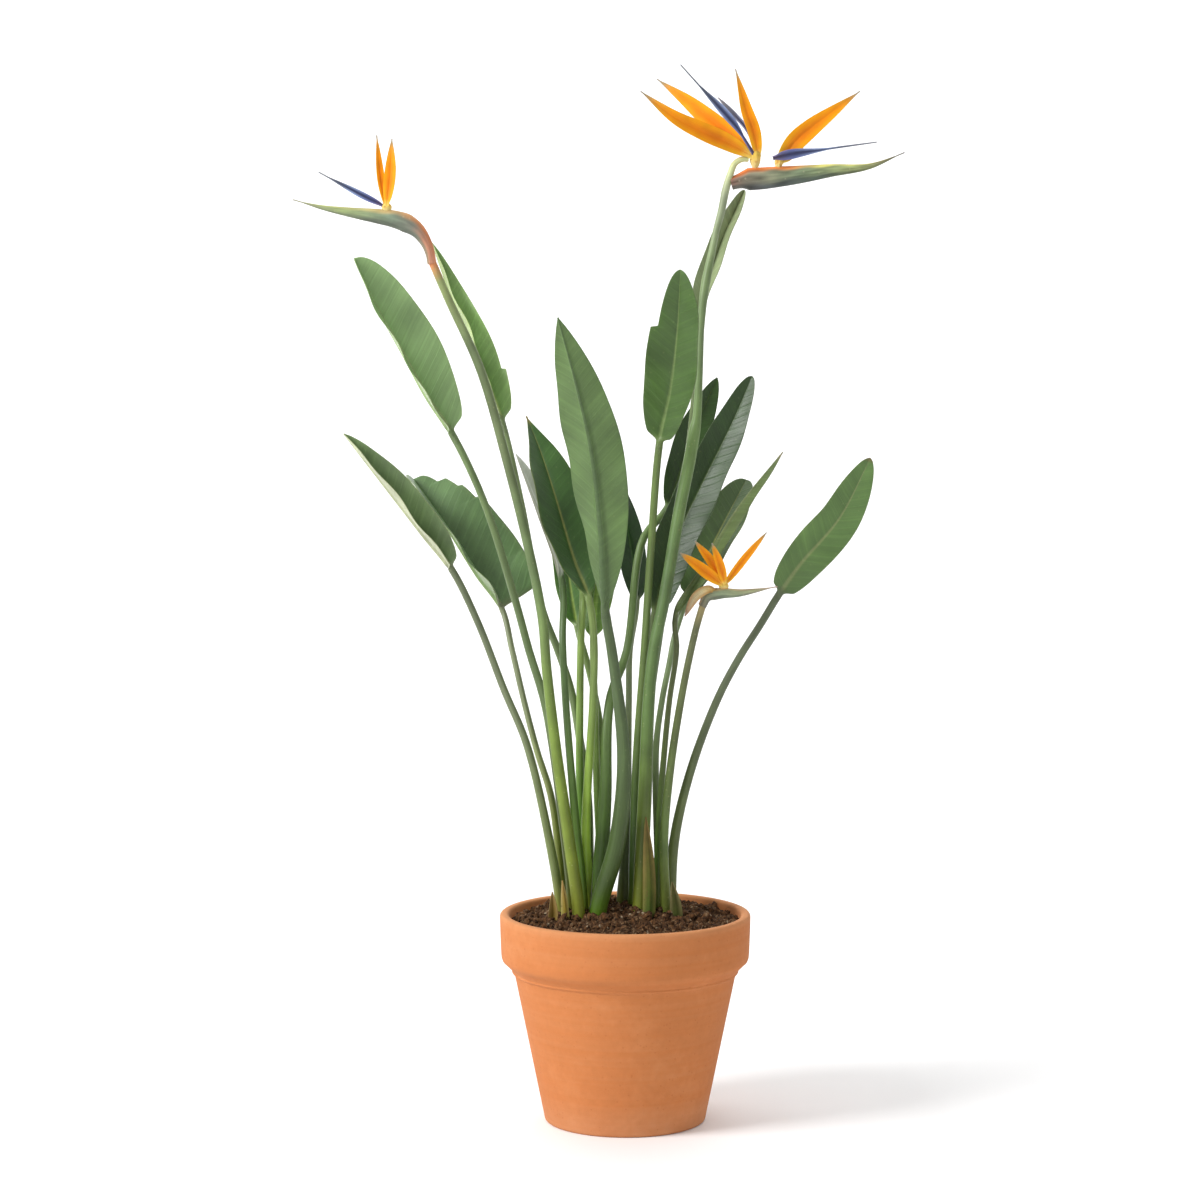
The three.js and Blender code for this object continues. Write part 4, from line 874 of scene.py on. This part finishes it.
# sepals, tongues and sheaths
florets = {
    "flower_left_floret": {
        "base": (-229, -60, 900), "swell": (6, 4, 4.5),
        "sepals": [
            {"spine": [(-231, -58, 902), (-236, -54, 936), (-239, -50, 970)], "width": 8, "turn": 20,
                "point": 1.1},
            {"spine": [(-229, -62, 902), (-225, -67, 931), (-223, -72, 965)], "width": 12, "turn": -10,
                "point": 1},
        ],
        "tongues": [
            {"spine": [(-232, -60, 902), (-249, -60, 910), (-294, -62, 934)], "width": 7.5, "turn": 30,
                "belly": 0.3, "point": 1.6},
        ],
    },
    "flower_right_floret_one": {
        "base": (127, 10, 950.5), "swell": (6.5, 5.5, 9.5),
        "sepals": [
            {"spine": [(124, 8.5, 954), (100, 2, 966), (75, -8, 976), (48, -17, 989), (14, -25, 1014)],
                "width": 19, "turn": 10, "belly": 0.36, "point": 1.1},
            {"spine": [(125, 11.5, 955), (103, 16, 974), (81, 21, 992), (61, 27, 1009), (31, 34, 1031)],
                "width": 20, "turn": -16, "belly": 0.36, "point": 1.1},
            {"spine": [(130, 10, 953), (125, 8, 978), (118, 7, 998), (113, 6, 1016), (107, 4, 1038)],
                "width": 14, "turn": 14, "belly": 0.33, "point": 1.1},
        ],
        "tongues": [
            {"spine": [(125, 7.5, 956), (109, 2, 980), (93, -2, 998), (75, -6, 1017), (53, -8, 1041)],
                "width": 9.5, "turn": 24, "belly": 0.43, "point": 4},
            {"spine": [(128, 13, 955), (120, 17, 979), (108, 20, 994), (91, 24, 1012)], "width": 5,
                "turn": -10, "belly": 0.6, "point": 0.7},
        ],
    },
    "flower_right_floret_two": {
        "base": (150, 10, 947), "swell": (5, 4.4, 6),
        "sepals": [
            {"spine": [(151, 11, 949), (157, 12, 956), (167, 13, 969), (182, 14, 982), (202, 16, 997),
                (230, 22, 1018)], "width": 20, "turn": 0, "belly": 0.26, "point": 1.1},
        ],
        "tongues": [
            {"spine": [(144, 7, 952), (161, 5, 956), (192, 3, 960), (245, 1, 967)], "width": 11, "turn": 30,
                "belly": 0.17, "point": 4.5},
        ],
    },
    "flower_right_lower_floret": {
        "base": (95, -50, 536), "swell": (6, 3.6, 4),
        "sepals": [
            {"spine": [(94, -52, 538), (77, -59, 551), (52, -68, 570)], "width": 12, "turn": 10},
            {"spine": [(95, -49, 539), (84, -46, 559), (67, -42, 580)], "width": 10, "turn": -10},
            {"spine": [(96, -53, 539), (91, -58, 557), (83, -64, 579)], "width": 9, "turn": 10},
            {"spine": [(96, -50, 538), (113, -52, 561), (136, -56, 589)], "width": 8, "turn": 6},
        ],
        "tongues": [],
    },
}
sheaths = {
    "green_stub": {
        "spine": [(-72, -24, 180), (-71, -25, 212), (-72, -27, 233)],
        "width": 12, "fold": 30, "turn": 0, "foot": 0.8, "skin": "stemSkin", "slot": "stem",
        "middle": [(0, 138, 92, 40), (0.4, 122, 104, 34), (1, 130, 100, 48)],
        "edge": [(0, 140, 118, 60), (1, 148, 120, 70)],
    },
    "dry_bract_left": {
        "spine": [(-58, -34, 180), (-59, -35, 214), (-62, -37, 246)],
        "width": 9, "fold": 26, "turn": 190, "foot": 0.8, "skin": "drySkin", "slot": "dry_sheath",
        "middle": [(0, 126, 130, 34), (0.5, 138, 122, 42), (1, 158, 126, 70)],
        "edge": [(0, 150, 156, 62), (1, 190, 166, 112)],
    },
    "dry_sheath_centre": {
        "spine": [(21, -33, 180), (24, -34, 235), (20, -32, 308)],
        "width": 15, "fold": 30, "turn": 184, "foot": 0.8, "skin": "drySkin", "slot": "dry_sheath",
        "middle": [(0, 62, 90, 28), (0.4, 74, 86, 30), (1, 96, 80, 42)],
        "edge": [(0, 86, 106, 42), (0.5, 116, 106, 56), (1, 124, 104, 62)],
    },
    "dry_sheath_right": {
        "spine": [(50, -24, 180), (50, -26, 212), (46, -28, 243)],
        "width": 15, "fold": 34, "turn": 176, "foot": 0.8, "skin": "drySkin", "slot": "dry_sheath",
        "middle": [(0, 74, 92, 32), (1, 76, 72, 36)],
        "edge": [(0, 100, 110, 50), (1, 150, 138, 98)],
    },
    "withered_sepal": {
        "spine": [(86, -51, 532), (80, -55.5, 534), (68, -58.5, 527.5), (57, -60, 508)],
        "width": 9.5, "fold": 24, "turn": 0, "foot": 0.8, "skin": "drySkin", "slot": "dry_sheath",
        "middle": [(0, 190, 146, 62), (0.35, 208, 194, 150), (1, 152, 124, 102)],
        "edge": [(0, 156, 118, 64), (0.5, 176, 144, 98), (1, 148, 114, 92)],
    },
}
petalLooks = {
    "sepal": {
        "skin": "sepalSkin",
        # painted shade: the middle tones, along the sepal's fold, are a darker orange than the edge tones
        "middle": [(0, 232, 196, 96), (0.1, 226, 138, 22), (0.3, 220, 118, 2), (0.7, 232, 134, 3),
            (0.86, 220, 138, 34), (0.95, 160, 140, 104), (1, 140, 134, 126)],
        "edge": [(0, 236, 208, 110), (0.1, 236, 168, 24), (0.35, 240, 150, 3), (0.75, 238, 150, 10),
            (0.88, 196, 142, 50), (0.96, 140, 128, 104), (1, 140, 134, 126)],
    },
    "tongue": {
        "skin": "tongueSkin",
        "middle": [(0, 70, 56, 76), (0.15, 46, 52, 90), (0.5, 48, 56, 94), (0.68, 70, 76, 94),
            (1, 122, 124, 130)],
        # painted highlight: the edge tones turn light blue about halfway along, where the tongue's edges catch
        # the light
        "edge": [(0, 104, 94, 130), (0.2, 92, 104, 158), (0.48, 142, 160, 200), (0.68, 102, 110, 130),
            (1, 128, 130, 136)],
    },
}
petalBuild = {"rows": 56, "thickness": 1.7, "tipThickness": 0.7, "least": 0.62, "rib": 1.6, "ribTip": 0.1,
              "groove": 0.25, "wave": 0.05, "fold": 16, "foot": 0.45, "tipHalf": 0.63, "belly": 0.4,
              "point": 0.8}


def petalMesh(name, petal, look, seed):
    size = {**petalBuild, **petal}  # a petal's own values come before the common ones
    path = pathThrough(petal["spine"])
    t = np.unique([*np.linspace(0, 1, size["rows"]), 0.005, 0.012, 0.985, 0.994])
    foot = petal["width"] / 2 * size["foot"]
    half = np.maximum(petal["width"] / 2 * outlineAt(t, size["belly"], size["point"]),
                      foot + (size["tipHalf"] - foot) * t ** 0.5)[:, None]
    reach = np.array([1, 0.965, 0.85, 0.7, 0.54, 0.38, 0.24, 0.11])
    signed = np.concatenate([reach, [0], -reach[::-1]])
    outs = half * signed
    reach = np.abs(signed)[None] * np.ones_like(half)
    thick = (size["thickness"] + (size["tipThickness"] - size["thickness"]) * t)[:, None]
    rings = ringsOfBlade(placesOn(path, t, petal["turn"]), np.hstack([half, half]), outs, {
        "fold": np.full_like(t, size["fold"]),
        "curl": 0,
        "wave": size["wave"] * half * reach ** 2 * np.sin((t * 9 + seed)[:, None] + np.sign(signed) * 1.2),
        "thick": np.maximum(thick * (1 - 0.55 * reach ** 2), size["least"]),
        "rib": (size["rib"] + (size["ribTip"] - size["rib"]) * t)[:, None] * np.exp(-(reach / 0.22) ** 2),
        "groove": size["groove"] * (1 - t)[:, None] * np.exp(-(reach / 0.12) ** 2),
    })
    middle, edge = (alongTones(look[part], t)[:, None, None] for part in ("middle", "edge"))
    # middle tones to edge tones; on sepals this carries painted shade along the fold, on tongues a painted
    # highlight along the edges
    paint = mixTones(middle, edge, ease(reach, 0.15, 0.95)[:, None])
    paint = paint * (1 + 0.13 * cloudAt(rings, 9, seed * 2.7))[..., None]
    fibreMap = np.stack(np.broadcast_arrays((t * path["total"])[:, None], outs), axis=-1)
    return buildSkin(name, rings, np.stack([fibreMap, fibreMap], axis=1), paint, skins[look["skin"]])


baseLook = {"low": (216, 196, 128), "high": (228, 188, 84), "brown": (176, 120, 50), "rows": 24,
            "columns": 25, "flutes": 7, "fluteDepth": 0.1}


def baseMesh(name, floret):  # the pale, fluted knob that the sepals of a floret spring from
    polar = np.linspace(0.02, math.pi - 0.02, baseLook["rows"])[:, None]
    angle = halfTurn(baseLook["columns"], 0.05)[None]
    sides = []
    for sign in (1, -1):
        flutes = 0.5 + 0.5 * np.cos(baseLook["flutes"] * sign * angle)
        waist = np.sin(polar) * (0.84 - 0.16 * np.cos(polar)) * (
            1 - baseLook["fluteDepth"] * flutes * np.sin(polar))
        spots = np.broadcast_arrays(waist * np.cos(angle), -waist * sign * np.sin(angle), -np.cos(polar))
        sides.append(np.stack(spots, axis=-1) * floret["swell"] + floret["base"])
    rings = np.stack(sides, axis=1)
    low, high, brown = (tone(*baseLook[part]) for part in ("low", "high", "brown"))
    middle = floret["base"][2]
    paint = mixTones(low, high, ease(rings[..., 2], middle - 0.6 * floret["swell"][2], middle + 4))
    paint = mixTones(paint, brown, 0.6 * ease(cloudAt(rings, 3.5, seeds["base"]), 0.05, 0.4))
    return buildSkin(name, rings, rings[..., [2, 0]], paint, skins["sepalSkin"])


def joinMeshes(name, meshes):
    pieces = [showObject(name, mesh) for mesh in meshes]
    with bpy.context.temp_override(active_object=pieces[0], selected_editable_objects=pieces,
                                   selected_objects=pieces):
        bpy.ops.object.join()
    mesh = pieces[0].data
    bpy.data.objects.remove(pieces[0])
    mesh.name = name
    return mesh


for number, (floretName, floret) in enumerate(florets.items()):
    seed = seeds["floret"] + 2 * number
    node = floretName + "_sepals"
    name = pieceName(node)
    parts = [baseMesh(name, floret)]
    for k, sepal in enumerate(floret["sepals"]):
        parts.append(petalMesh(name, sepal, petalLooks["sepal"], seed + k))
    addPiece(name, joinMeshes(name, parts), "sepal", node)
    for k, tongue in enumerate(floret["tongues"]):
        node = floretName + "_tongue" + (f"_{k + 1}" if len(floret["tongues"]) > 1 else "")
        name = pieceName(node)
        addPiece(name, petalMesh(name, tongue, petalLooks["tongue"], seed + 5 + k), "tongue", node)
for number, (node, sheath) in enumerate(sheaths.items()):
    name = pieceName(node)
    addPiece(name, petalMesh(name, sheath, sheath, seeds["sheath"] + number), sheath["slot"], node)
print("florets and sheaths set")

# pot
pot = {"height": 208, "rimRadius": 124.5, "collarHeight": 46, "collarStep": 11, "shoulderRadius": 110,
       "baseRadius": 80.5, "wall": 9.5, "floor": 12, "lipRound": 3.5, "footRound": 3.5,
       "drainRadius": 6, "drainRing": 30, "drainHoles": 3, "sides": 160, "sharpFrom": 38}
clayTones = {"clay": tone(190, 116, 66), "pale": tone(203, 147, 102), "dark": tone(157, 83, 45),
             "salt": tone(210, 184, 152)}


def roundTurn(x, z, radius, start, end, steps=7):
    angles = np.radians(np.linspace(start, end, steps))
    return [(x + radius * math.cos(a), z + radius * math.sin(a)) for a in angles]


def innerRadius(z):
    collar = pot["height"] - pot["collarHeight"]
    shoulder = pot["shoulderRadius"] - pot["wall"] + 2
    if z > collar:
        share = (z - collar) / (pot["collarHeight"] - pot["lipRound"])
        return shoulder + (pot["rimRadius"] - pot["wall"] - shoulder) * share
    low = pot["baseRadius"] - pot["wall"]
    return low + (shoulder - low) * z / collar


def potProfile():  # x and z from the middle of the foot, round the outside and the inside, to the floor
    height, base, floor, rim = pot["height"], pot["baseRadius"], pot["floor"], pot["rimRadius"]
    shoulder, under = pot["shoulderRadius"], height - pot["collarHeight"]
    lip, foot, step = pot["lipRound"], pot["footRound"], under - pot["collarStep"]
    top = (shoulder - 0.3, step - 5)
    line = [(0, 0), (base * 0.5, 0), *roundTurn(base - foot, foot, foot, -90, 0)]
    for share in np.linspace(0.1, 0.9, 9):
        line.append((base + (top[0] - base) * share, foot + (top[1] - foot) * share))
    # the ridge under the collar, its chamfer and its wall
    line += [top, *((shoulder + x, step + z) for x, z in (
        (0.2, -3.4), (2.0, -2.2), (2.7, -1.2), (2.6, 0.4), (5, 3.6)))]
    line += [(rim + x, under + z) for x, z in (
        (-5, -3), (-2.6, -0.8), (-1.6, 2), (-1.2, 6), (-0.8, 16), (-0.4, 28))]
    line += roundTurn(rim - lip, height - lip, lip, 0, 90)
    line += roundTurn(rim - pot["wall"] + lip, height - lip, lip, 90, 180)
    line += [(innerRadius(z), z) for z in (under + 20, under + 4, under - 4, 120, 70, 30)]
    corner = innerRadius(floor)
    line += [(corner - 1.5, floor + 1.2), (corner - 6, floor), (30, floor), (0, floor)]
    mesh = bpy.data.meshes.new("potProfile")
    mesh.from_pydata([(x * mm, 0, z * mm) for x, z in line], [(k, k + 1) for k in range(len(line) - 1)], [])
    return mesh


def makePotTree():  # turns the profile on its axis, then drills the drain holes
    tree, given, result = newMeshTree("turnedPot", {
        "Rows": 60, "Sides": 160, "Drain Radius": 0.006, "Drain Ring": 0.03, "Drain Holes": 3,
        "Drill Length": 0.04, "Clay": "Material"})
    grid = put(tree, "GeometryNodeMeshGrid", {
        "Size X": 1.0, "Size Y": 1.0, "Vertices X": given["Sides"] + 1.0, "Vertices Y": given["Rows"]})
    spot = put(tree, "ShaderNodeSeparateXYZ", {0: put(tree, "GeometryNodeInputPosition")})
    turned = (spot[0] + 0.5) * (2 * math.pi)
    row = ((spot[1] + 0.5) * (given["Rows"] - 1.0)).maths("ROUND")
    taken = put(tree, "GeometryNodeSampleIndex", {"Geometry": given["Geometry"], "Index": row},
                data_type="FLOAT_VECTOR", domain="POINT")
    place = put(tree, "GeometryNodeInputPosition")
    tree.links.new(place.socket, openSockets(taken.node.inputs)[0])
    profile = put(tree, "ShaderNodeSeparateXYZ", {0: taken})
    moved = put(tree, "ShaderNodeCombineXYZ", {0: profile[0] * turned.maths("COSINE"),
                                               1: profile[0] * turned.maths("SINE"), 2: profile[2]})
    shell = put(tree, "GeometryNodeSetPosition", {"Geometry": grid, "Position": moved})
    closed = put(tree, "GeometryNodeMergeByDistance", {"Geometry": shell, "Distance": 0.00002})
    # drills stand on a ring
    drill = put(tree, "GeometryNodeMeshCylinder", {"Vertices": 32, "Radius": given["Drain Radius"],
                                                   "Depth": given["Drill Length"]})
    ring = put(tree, "GeometryNodeCurvePrimitiveCircle", {"Resolution": given["Drain Holes"],
                                                          "Radius": given["Drain Ring"]})
    drills = put(tree, "GeometryNodeInstanceOnPoints", {"Points": ring, "Instance": drill})
    solid = put(tree, "GeometryNodeRealizeInstances", {0: drills})
    cut = put(tree, "GeometryNodeMeshBoolean", {0: closed, 1: solid}, operation="DIFFERENCE", solver="EXACT")
    return closeMesh(tree, result, cut, given["Clay"])


def clayMaterial():
    made, tree, body = newMaterial("terracottaClay", 0.86, Specular_IOR_Level=0.25)
    spot = put(tree, "ShaderNodeSeparateXYZ", {0: body})
    clouds = effect(tree, cloudyPatches, body, 0.07, 0.06)
    fine = effect(tree, cloudyPatches, body, 0.006, 0.05)
    pores = effect(tree, scatteredFlecks, body, 0.0028, 0.07)
    # faint rings from the wheel: noise that changes with height only, a little bent
    bent = put(tree, "ShaderNodeCombineXYZ", {0: spot[0] * 1.2, 1: spot[1] * 1.2, 2: spot[2] * 90.0})
    rings = put(tree, "ShaderNodeTexNoise", {"Vector": bent, "Scale": 2.2, "Detail": 3.0})
    ringTone = (*mixTones(clayTones["clay"], clayTones["pale"], 0.16), 1.0)
    base = mixColour(tree, mapRange(tree, rings, 0.3, 0.75), clayTones["clay"], ringTone)
    base = mixColour(tree, mapRange(tree, clouds["Cloud"], 0.52, 0.72, end=0.2), base, clayTones["pale"])
    # a painted highlight, lighter clay along the lip where the rim catches the light, and a breath of salt near
    # the foot
    base = mixColour(tree, mapRange(tree, spot[2], 0.2, 0.208, end=0.5), base, clayTones["pale"])
    salt = mapRange(tree, spot[2], 0.035, 0.0, end=0.3) * clouds["Cloud"]
    base = scaleColour(tree, mixColour(tree, salt, base, clayTones["salt"]), clouds["Shade"] * fine["Shade"])
    base = mixColour(tree, pores["Mask"] * 0.22, base, clayTones["dark"])
    return dress(made, base, fine["Cloud"] * 0.5 + rings * 0.6 - pores["Mask"] * 0.5, (0.35, 0.0006))


profile = potProfile()
potMesh = growMesh("potBody", profile, makePotTree(), {
    "Rows": len(profile.vertices), "Sides": pot["sides"], "Drain Radius": pot["drainRadius"] * mm,
    "Drain Ring": pot["drainRing"] * mm, "Drain Holes": pot["drainHoles"],
    "Drill Length": 3 * pot["floor"] * mm, "Clay": clayMaterial()})
potMesh.shade_smooth()
potMesh.set_sharp_from_angle(angle=math.radians(pot["sharpFrom"]))
addPiece("potBody", potMesh, "terracotta", "pot")
print("pot turned:", len(potMesh.polygons))

# soil
soil = {"edge": 199, "crown": 212, "gap": 0.3, "rings": 70, "sides": 180, "lumps": 6.6, "inset": 8,
        "lumpSize": 17, "clodSize": 8, "crumbs": 2600, "crumbMin": 0.0007, "crumbMax": 0.0076, "seed": 7,
        "sizeSeed": 12}
soilTones = {"dark": tone(46, 29, 17), "brown": tone(100, 68, 40), "grey": tone(134, 108, 80),
             "light": tone(205, 186, 156)}


def soilMaterial(name, lift):
    made, tree, body = newMaterial(name, 0.95, Specular_IOR_Level=0.2)
    clouds = effect(tree, cloudyPatches, body, 0.012, 0.35)
    crumbs = put(tree, "ShaderNodeTexVoronoi", {"Vector": body, "Scale": 420.0})
    chance = put(tree, "ShaderNodeSeparateXYZ", {0: crumbs["Color"]})
    bits = effect(tree, scatteredFlecks, body, 0.0042, 0.07)
    base = mixColour(tree, chance[0] * lift, soilTones["dark"], soilTones["brown"])
    base = mixColour(tree, mapRange(tree, chance[1], 0.8, 1.0, end=0.7), base, soilTones["grey"])
    base = mixColour(tree, bits["Mask"] * 0.5, base, soilTones["light"])
    base = scaleColour(tree, base, clouds["Shade"])
    return dress(made, base, clouds["Cloud"] - crumbs["Distance"], (0.8, 0.0015))


def soilHeight(x, y, share):
    base = soil["crown"] + (soil["edge"] - soil["crown"]) * share ** 1.6
    lump = noise.fractal(Vector((x / soil["lumpSize"], y / soil["lumpSize"], 3.3)), 1.0, 2.1, 5)
    clod = noise.noise(Vector((x / soil["clodSize"], y / soil["clodSize"], 9.1)))
    return base + soil["lumps"] * (0.5 * lump + 0.75 * clod) * min(1, (1.02 - share) * 12)


def ringSpots(radius, number):  # every second ring is turned by half a step
    angles = [2 * math.pi * (i + 0.5 * (number % 2)) / soil["sides"] for i in range(soil["sides"])]
    return [(radius * math.cos(angle), radius * math.sin(angle)) for angle in angles]


def soilMesh():
    rings, sides, gap = soil["rings"], soil["sides"], soil["gap"]
    outer = innerRadius(soil["edge"]) - 2 * gap
    points = [(0, 0, soilHeight(0, 0, 0))]
    for k in range(1, rings + 1):
        share = (k / rings) ** 0.85
        points += [(x, y, soilHeight(x, y, share)) for x, y in ringSpots(outer * share, k)]
    for z, inset in ((pot["height"] - pot["collarHeight"], 0), (pot["floor"] + gap, soil["inset"])):
        points += [(x, y, z) for x, y in ringSpots(innerRadius(z) - 2 * gap - inset, rings)]
    points.append((0, 0, pot["floor"] + gap))
    after = [(i, (i + 1) % sides) for i in range(sides)]
    last = 1 + (rings + 1) * sides
    faces = []
    for i, j in after:
        faces += [(0, 1 + i, 1 + j), (len(points) - 1, last + j, last + i)]
    for low in range(1, last, sides):
        faces += [(low + i, low + sides + i, low + sides + j, low + j) for i, j in after]
    mesh = bpy.data.meshes.new("soilBed")
    mesh.from_pydata([(x * mm, y * mm, z * mm) for x, y, z in points], [], faces)
    mesh.shade_smooth()
    return mesh


def randomValue(tree, seed, kind="FLOAT", low=None, high=None):
    made = put(tree, "FunctionNodeRandomValue", data_type=kind).node
    openSockets(made.inputs, "Seed")[0].default_value = seed
    for name, value in (("Min", low), ("Max", high)):
        if value:
            openSockets(made.inputs, name)[0].default_value = value
    return nodeWire(made, list(made.outputs).index(openSockets(made.outputs)[0]))


def makeCrumbTree():
    tree, given, result = newMeshTree("soilCrumbs", {"Count": 40000.0, "Seed": 1, "Smallest": 0.001,
                                                     "Largest": 0.004, "Earth": "Material"})
    # only the faces that look up carry crumbs
    face = put(tree, "ShaderNodeSeparateXYZ", {0: put(tree, "GeometryNodeInputNormal")})
    upward = put(tree, "FunctionNodeCompare", {0: face[2], 1: 0.35}, data_type="FLOAT",
                 operation="GREATER_THAN")
    points = put(tree, "GeometryNodeDistributePointsOnFaces", {
        "Mesh": given["Geometry"], "Selection": upward, "Density": given["Count"], "Seed": given["Seed"]},
        distribute_method="RANDOM")
    # a small block of 48 triangles, rounded and then dented
    block = put(tree, "GeometryNodeMeshCube", {"Size": (1, 1, 1), "Vertices X": 3, "Vertices Y": 3,
                                               "Vertices Z": 3})
    rounded = put(tree, "ShaderNodeVectorMath", {0: put(tree, "GeometryNodeInputPosition")},
                  operation="NORMALIZE")
    ball = put(tree, "GeometryNodeSetPosition", {"Geometry": block, "Position": rounded})
    rough = put(tree, "ShaderNodeTexNoise", {"Scale": 1.3, "Detail": 1.0}, noise_dimensions="3D")
    push = put(tree, "ShaderNodeVectorMath", {0: rough["Color"], 1: (0.5, 0.5, 0.5)}, operation="SUBTRACT")
    dent = put(tree, "ShaderNodeVectorMath", {0: push, "Scale": 1.5}, operation="SCALE")
    lump = put(tree, "GeometryNodeSetPosition", {"Geometry": ball, "Offset": dent})
    # most crumbs are small
    chance = randomValue(tree, soil["sizeSeed"]).maths("POWER", 4.6)
    grown = given["Smallest"] + chance * (given["Largest"] - given["Smallest"])
    flat = randomValue(tree, 0, "FLOAT_VECTOR", (0.7, 0.5, 0.4), (1.3, 1.0, 0.8))
    sized = put(tree, "ShaderNodeVectorMath", {0: flat, "Scale": grown}, operation="SCALE")
    turn = randomValue(tree, 0, "FLOAT_VECTOR", (0, 0, 0), (6.28, 6.28, 6.28))
    placed = put(tree, "GeometryNodeInstanceOnPoints", {
        "Points": points["Points"], "Instance": lump, "Rotation": turn, "Scale": sized})
    return closeMesh(tree, result, placed, given["Earth"])


bedMesh = soilMesh()
area = math.pi * (innerRadius(soil["edge"]) * mm) ** 2
crumbMesh = growMesh("soilCrumbs", bedMesh.copy(), makeCrumbTree(), {
    "Count": soil["crumbs"] / area, "Seed": soil["seed"], "Smallest": soil["crumbMin"],
    "Largest": soil["crumbMax"], "Earth": soilMaterial("soilCrumb", 0.95)})
bedMesh.materials.append(soilMaterial("pottingSoil", 0.6))
addPiece("soilBed", bedMesh, "soil", "soil")
addPiece("soilCrumbs", crumbMesh, "soil", "soil")
print("soil filled, crumb faces:", len(crumbMesh.polygons))

# studio
studio = {"floorFront": -6.0, "floorBack": 3.5, "wallRise": 5.0, "halfWidth": 7.0, "bend": 1.6, "steps": 12,
          "paper": (0.93, 0.93, 0.93), "sky": 0.6}
lamps = {
    "keyLight": {"place": (-3.0, -1.5, 2.5), "aim": (0, 0, 0.5), "size": (1.5, 1.5), "power": 150},
    "fillLight": {"place": (2.4, -3.0, 1.4), "aim": (0, 0, 0.5), "size": (2.4, 2.4), "power": 8},
    "backdropLight": {"place": (0, 1.3, 3.4), "aim": (0, 3.6, 1.2), "size": (4.0, 1.0), "power": 70},
}


def studioSweep():  # a pale floor that bends up into the backdrop
    bend, start = studio["bend"], studio["floorBack"] - studio["bend"]
    angles = [math.pi / 2 * k / studio["steps"] for k in range(1, studio["steps"] + 1)]
    line = [(studio["floorFront"], 0.0), (start, 0.0),
            *((start + bend * math.sin(angle), bend - bend * math.cos(angle)) for angle in angles),
            (studio["floorBack"], studio["wallRise"])]
    points = [(side * studio["halfWidth"], y, z) for y, z in line for side in (-1, 1)]
    faces = [(2 * k, 2 * k + 1, 2 * k + 3, 2 * k + 2) for k in range(len(line) - 1)]
    mesh = bpy.data.meshes.new("studioFloor")
    mesh.from_pydata(points, [], faces)
    mesh.shade_smooth()
    made, tree, body = newMaterial("palePaper", 0.9, Specular_IOR_Level=0.1)
    clouds = effect(tree, cloudyPatches, body, 0.5, 0.004)
    mesh.materials.append(dress(made, scaleColour(tree, studio["paper"], clouds["Shade"])))
    showObject("studioFloor", mesh)


def softLight(name, place, aim, size, power):
    lamp = bpy.data.lights.new(name, "AREA")
    lamp.shape = "RECTANGLE"
    lamp.size, lamp.size_y = size
    lamp.energy = power
    holder = showObject(name, lamp)
    holder.location = place
    holder.rotation_euler = (Vector(aim) - Vector(place)).to_track_quat("-Z", "Y").to_euler()


studioSweep()
for name, lamp in lamps.items():
    softLight(name, **lamp)
world = bpy.data.worlds.new("studioWorld")
world.use_nodes = True
world.node_tree.nodes["Background"].inputs["Color"].default_value = (1, 1, 1, 1)
world.node_tree.nodes["Background"].inputs["Strength"].default_value = studio["sky"]
bpy.context.scene.world = world
bpy.context.scene.view_settings.view_transform = "Standard"
print("studio lit")
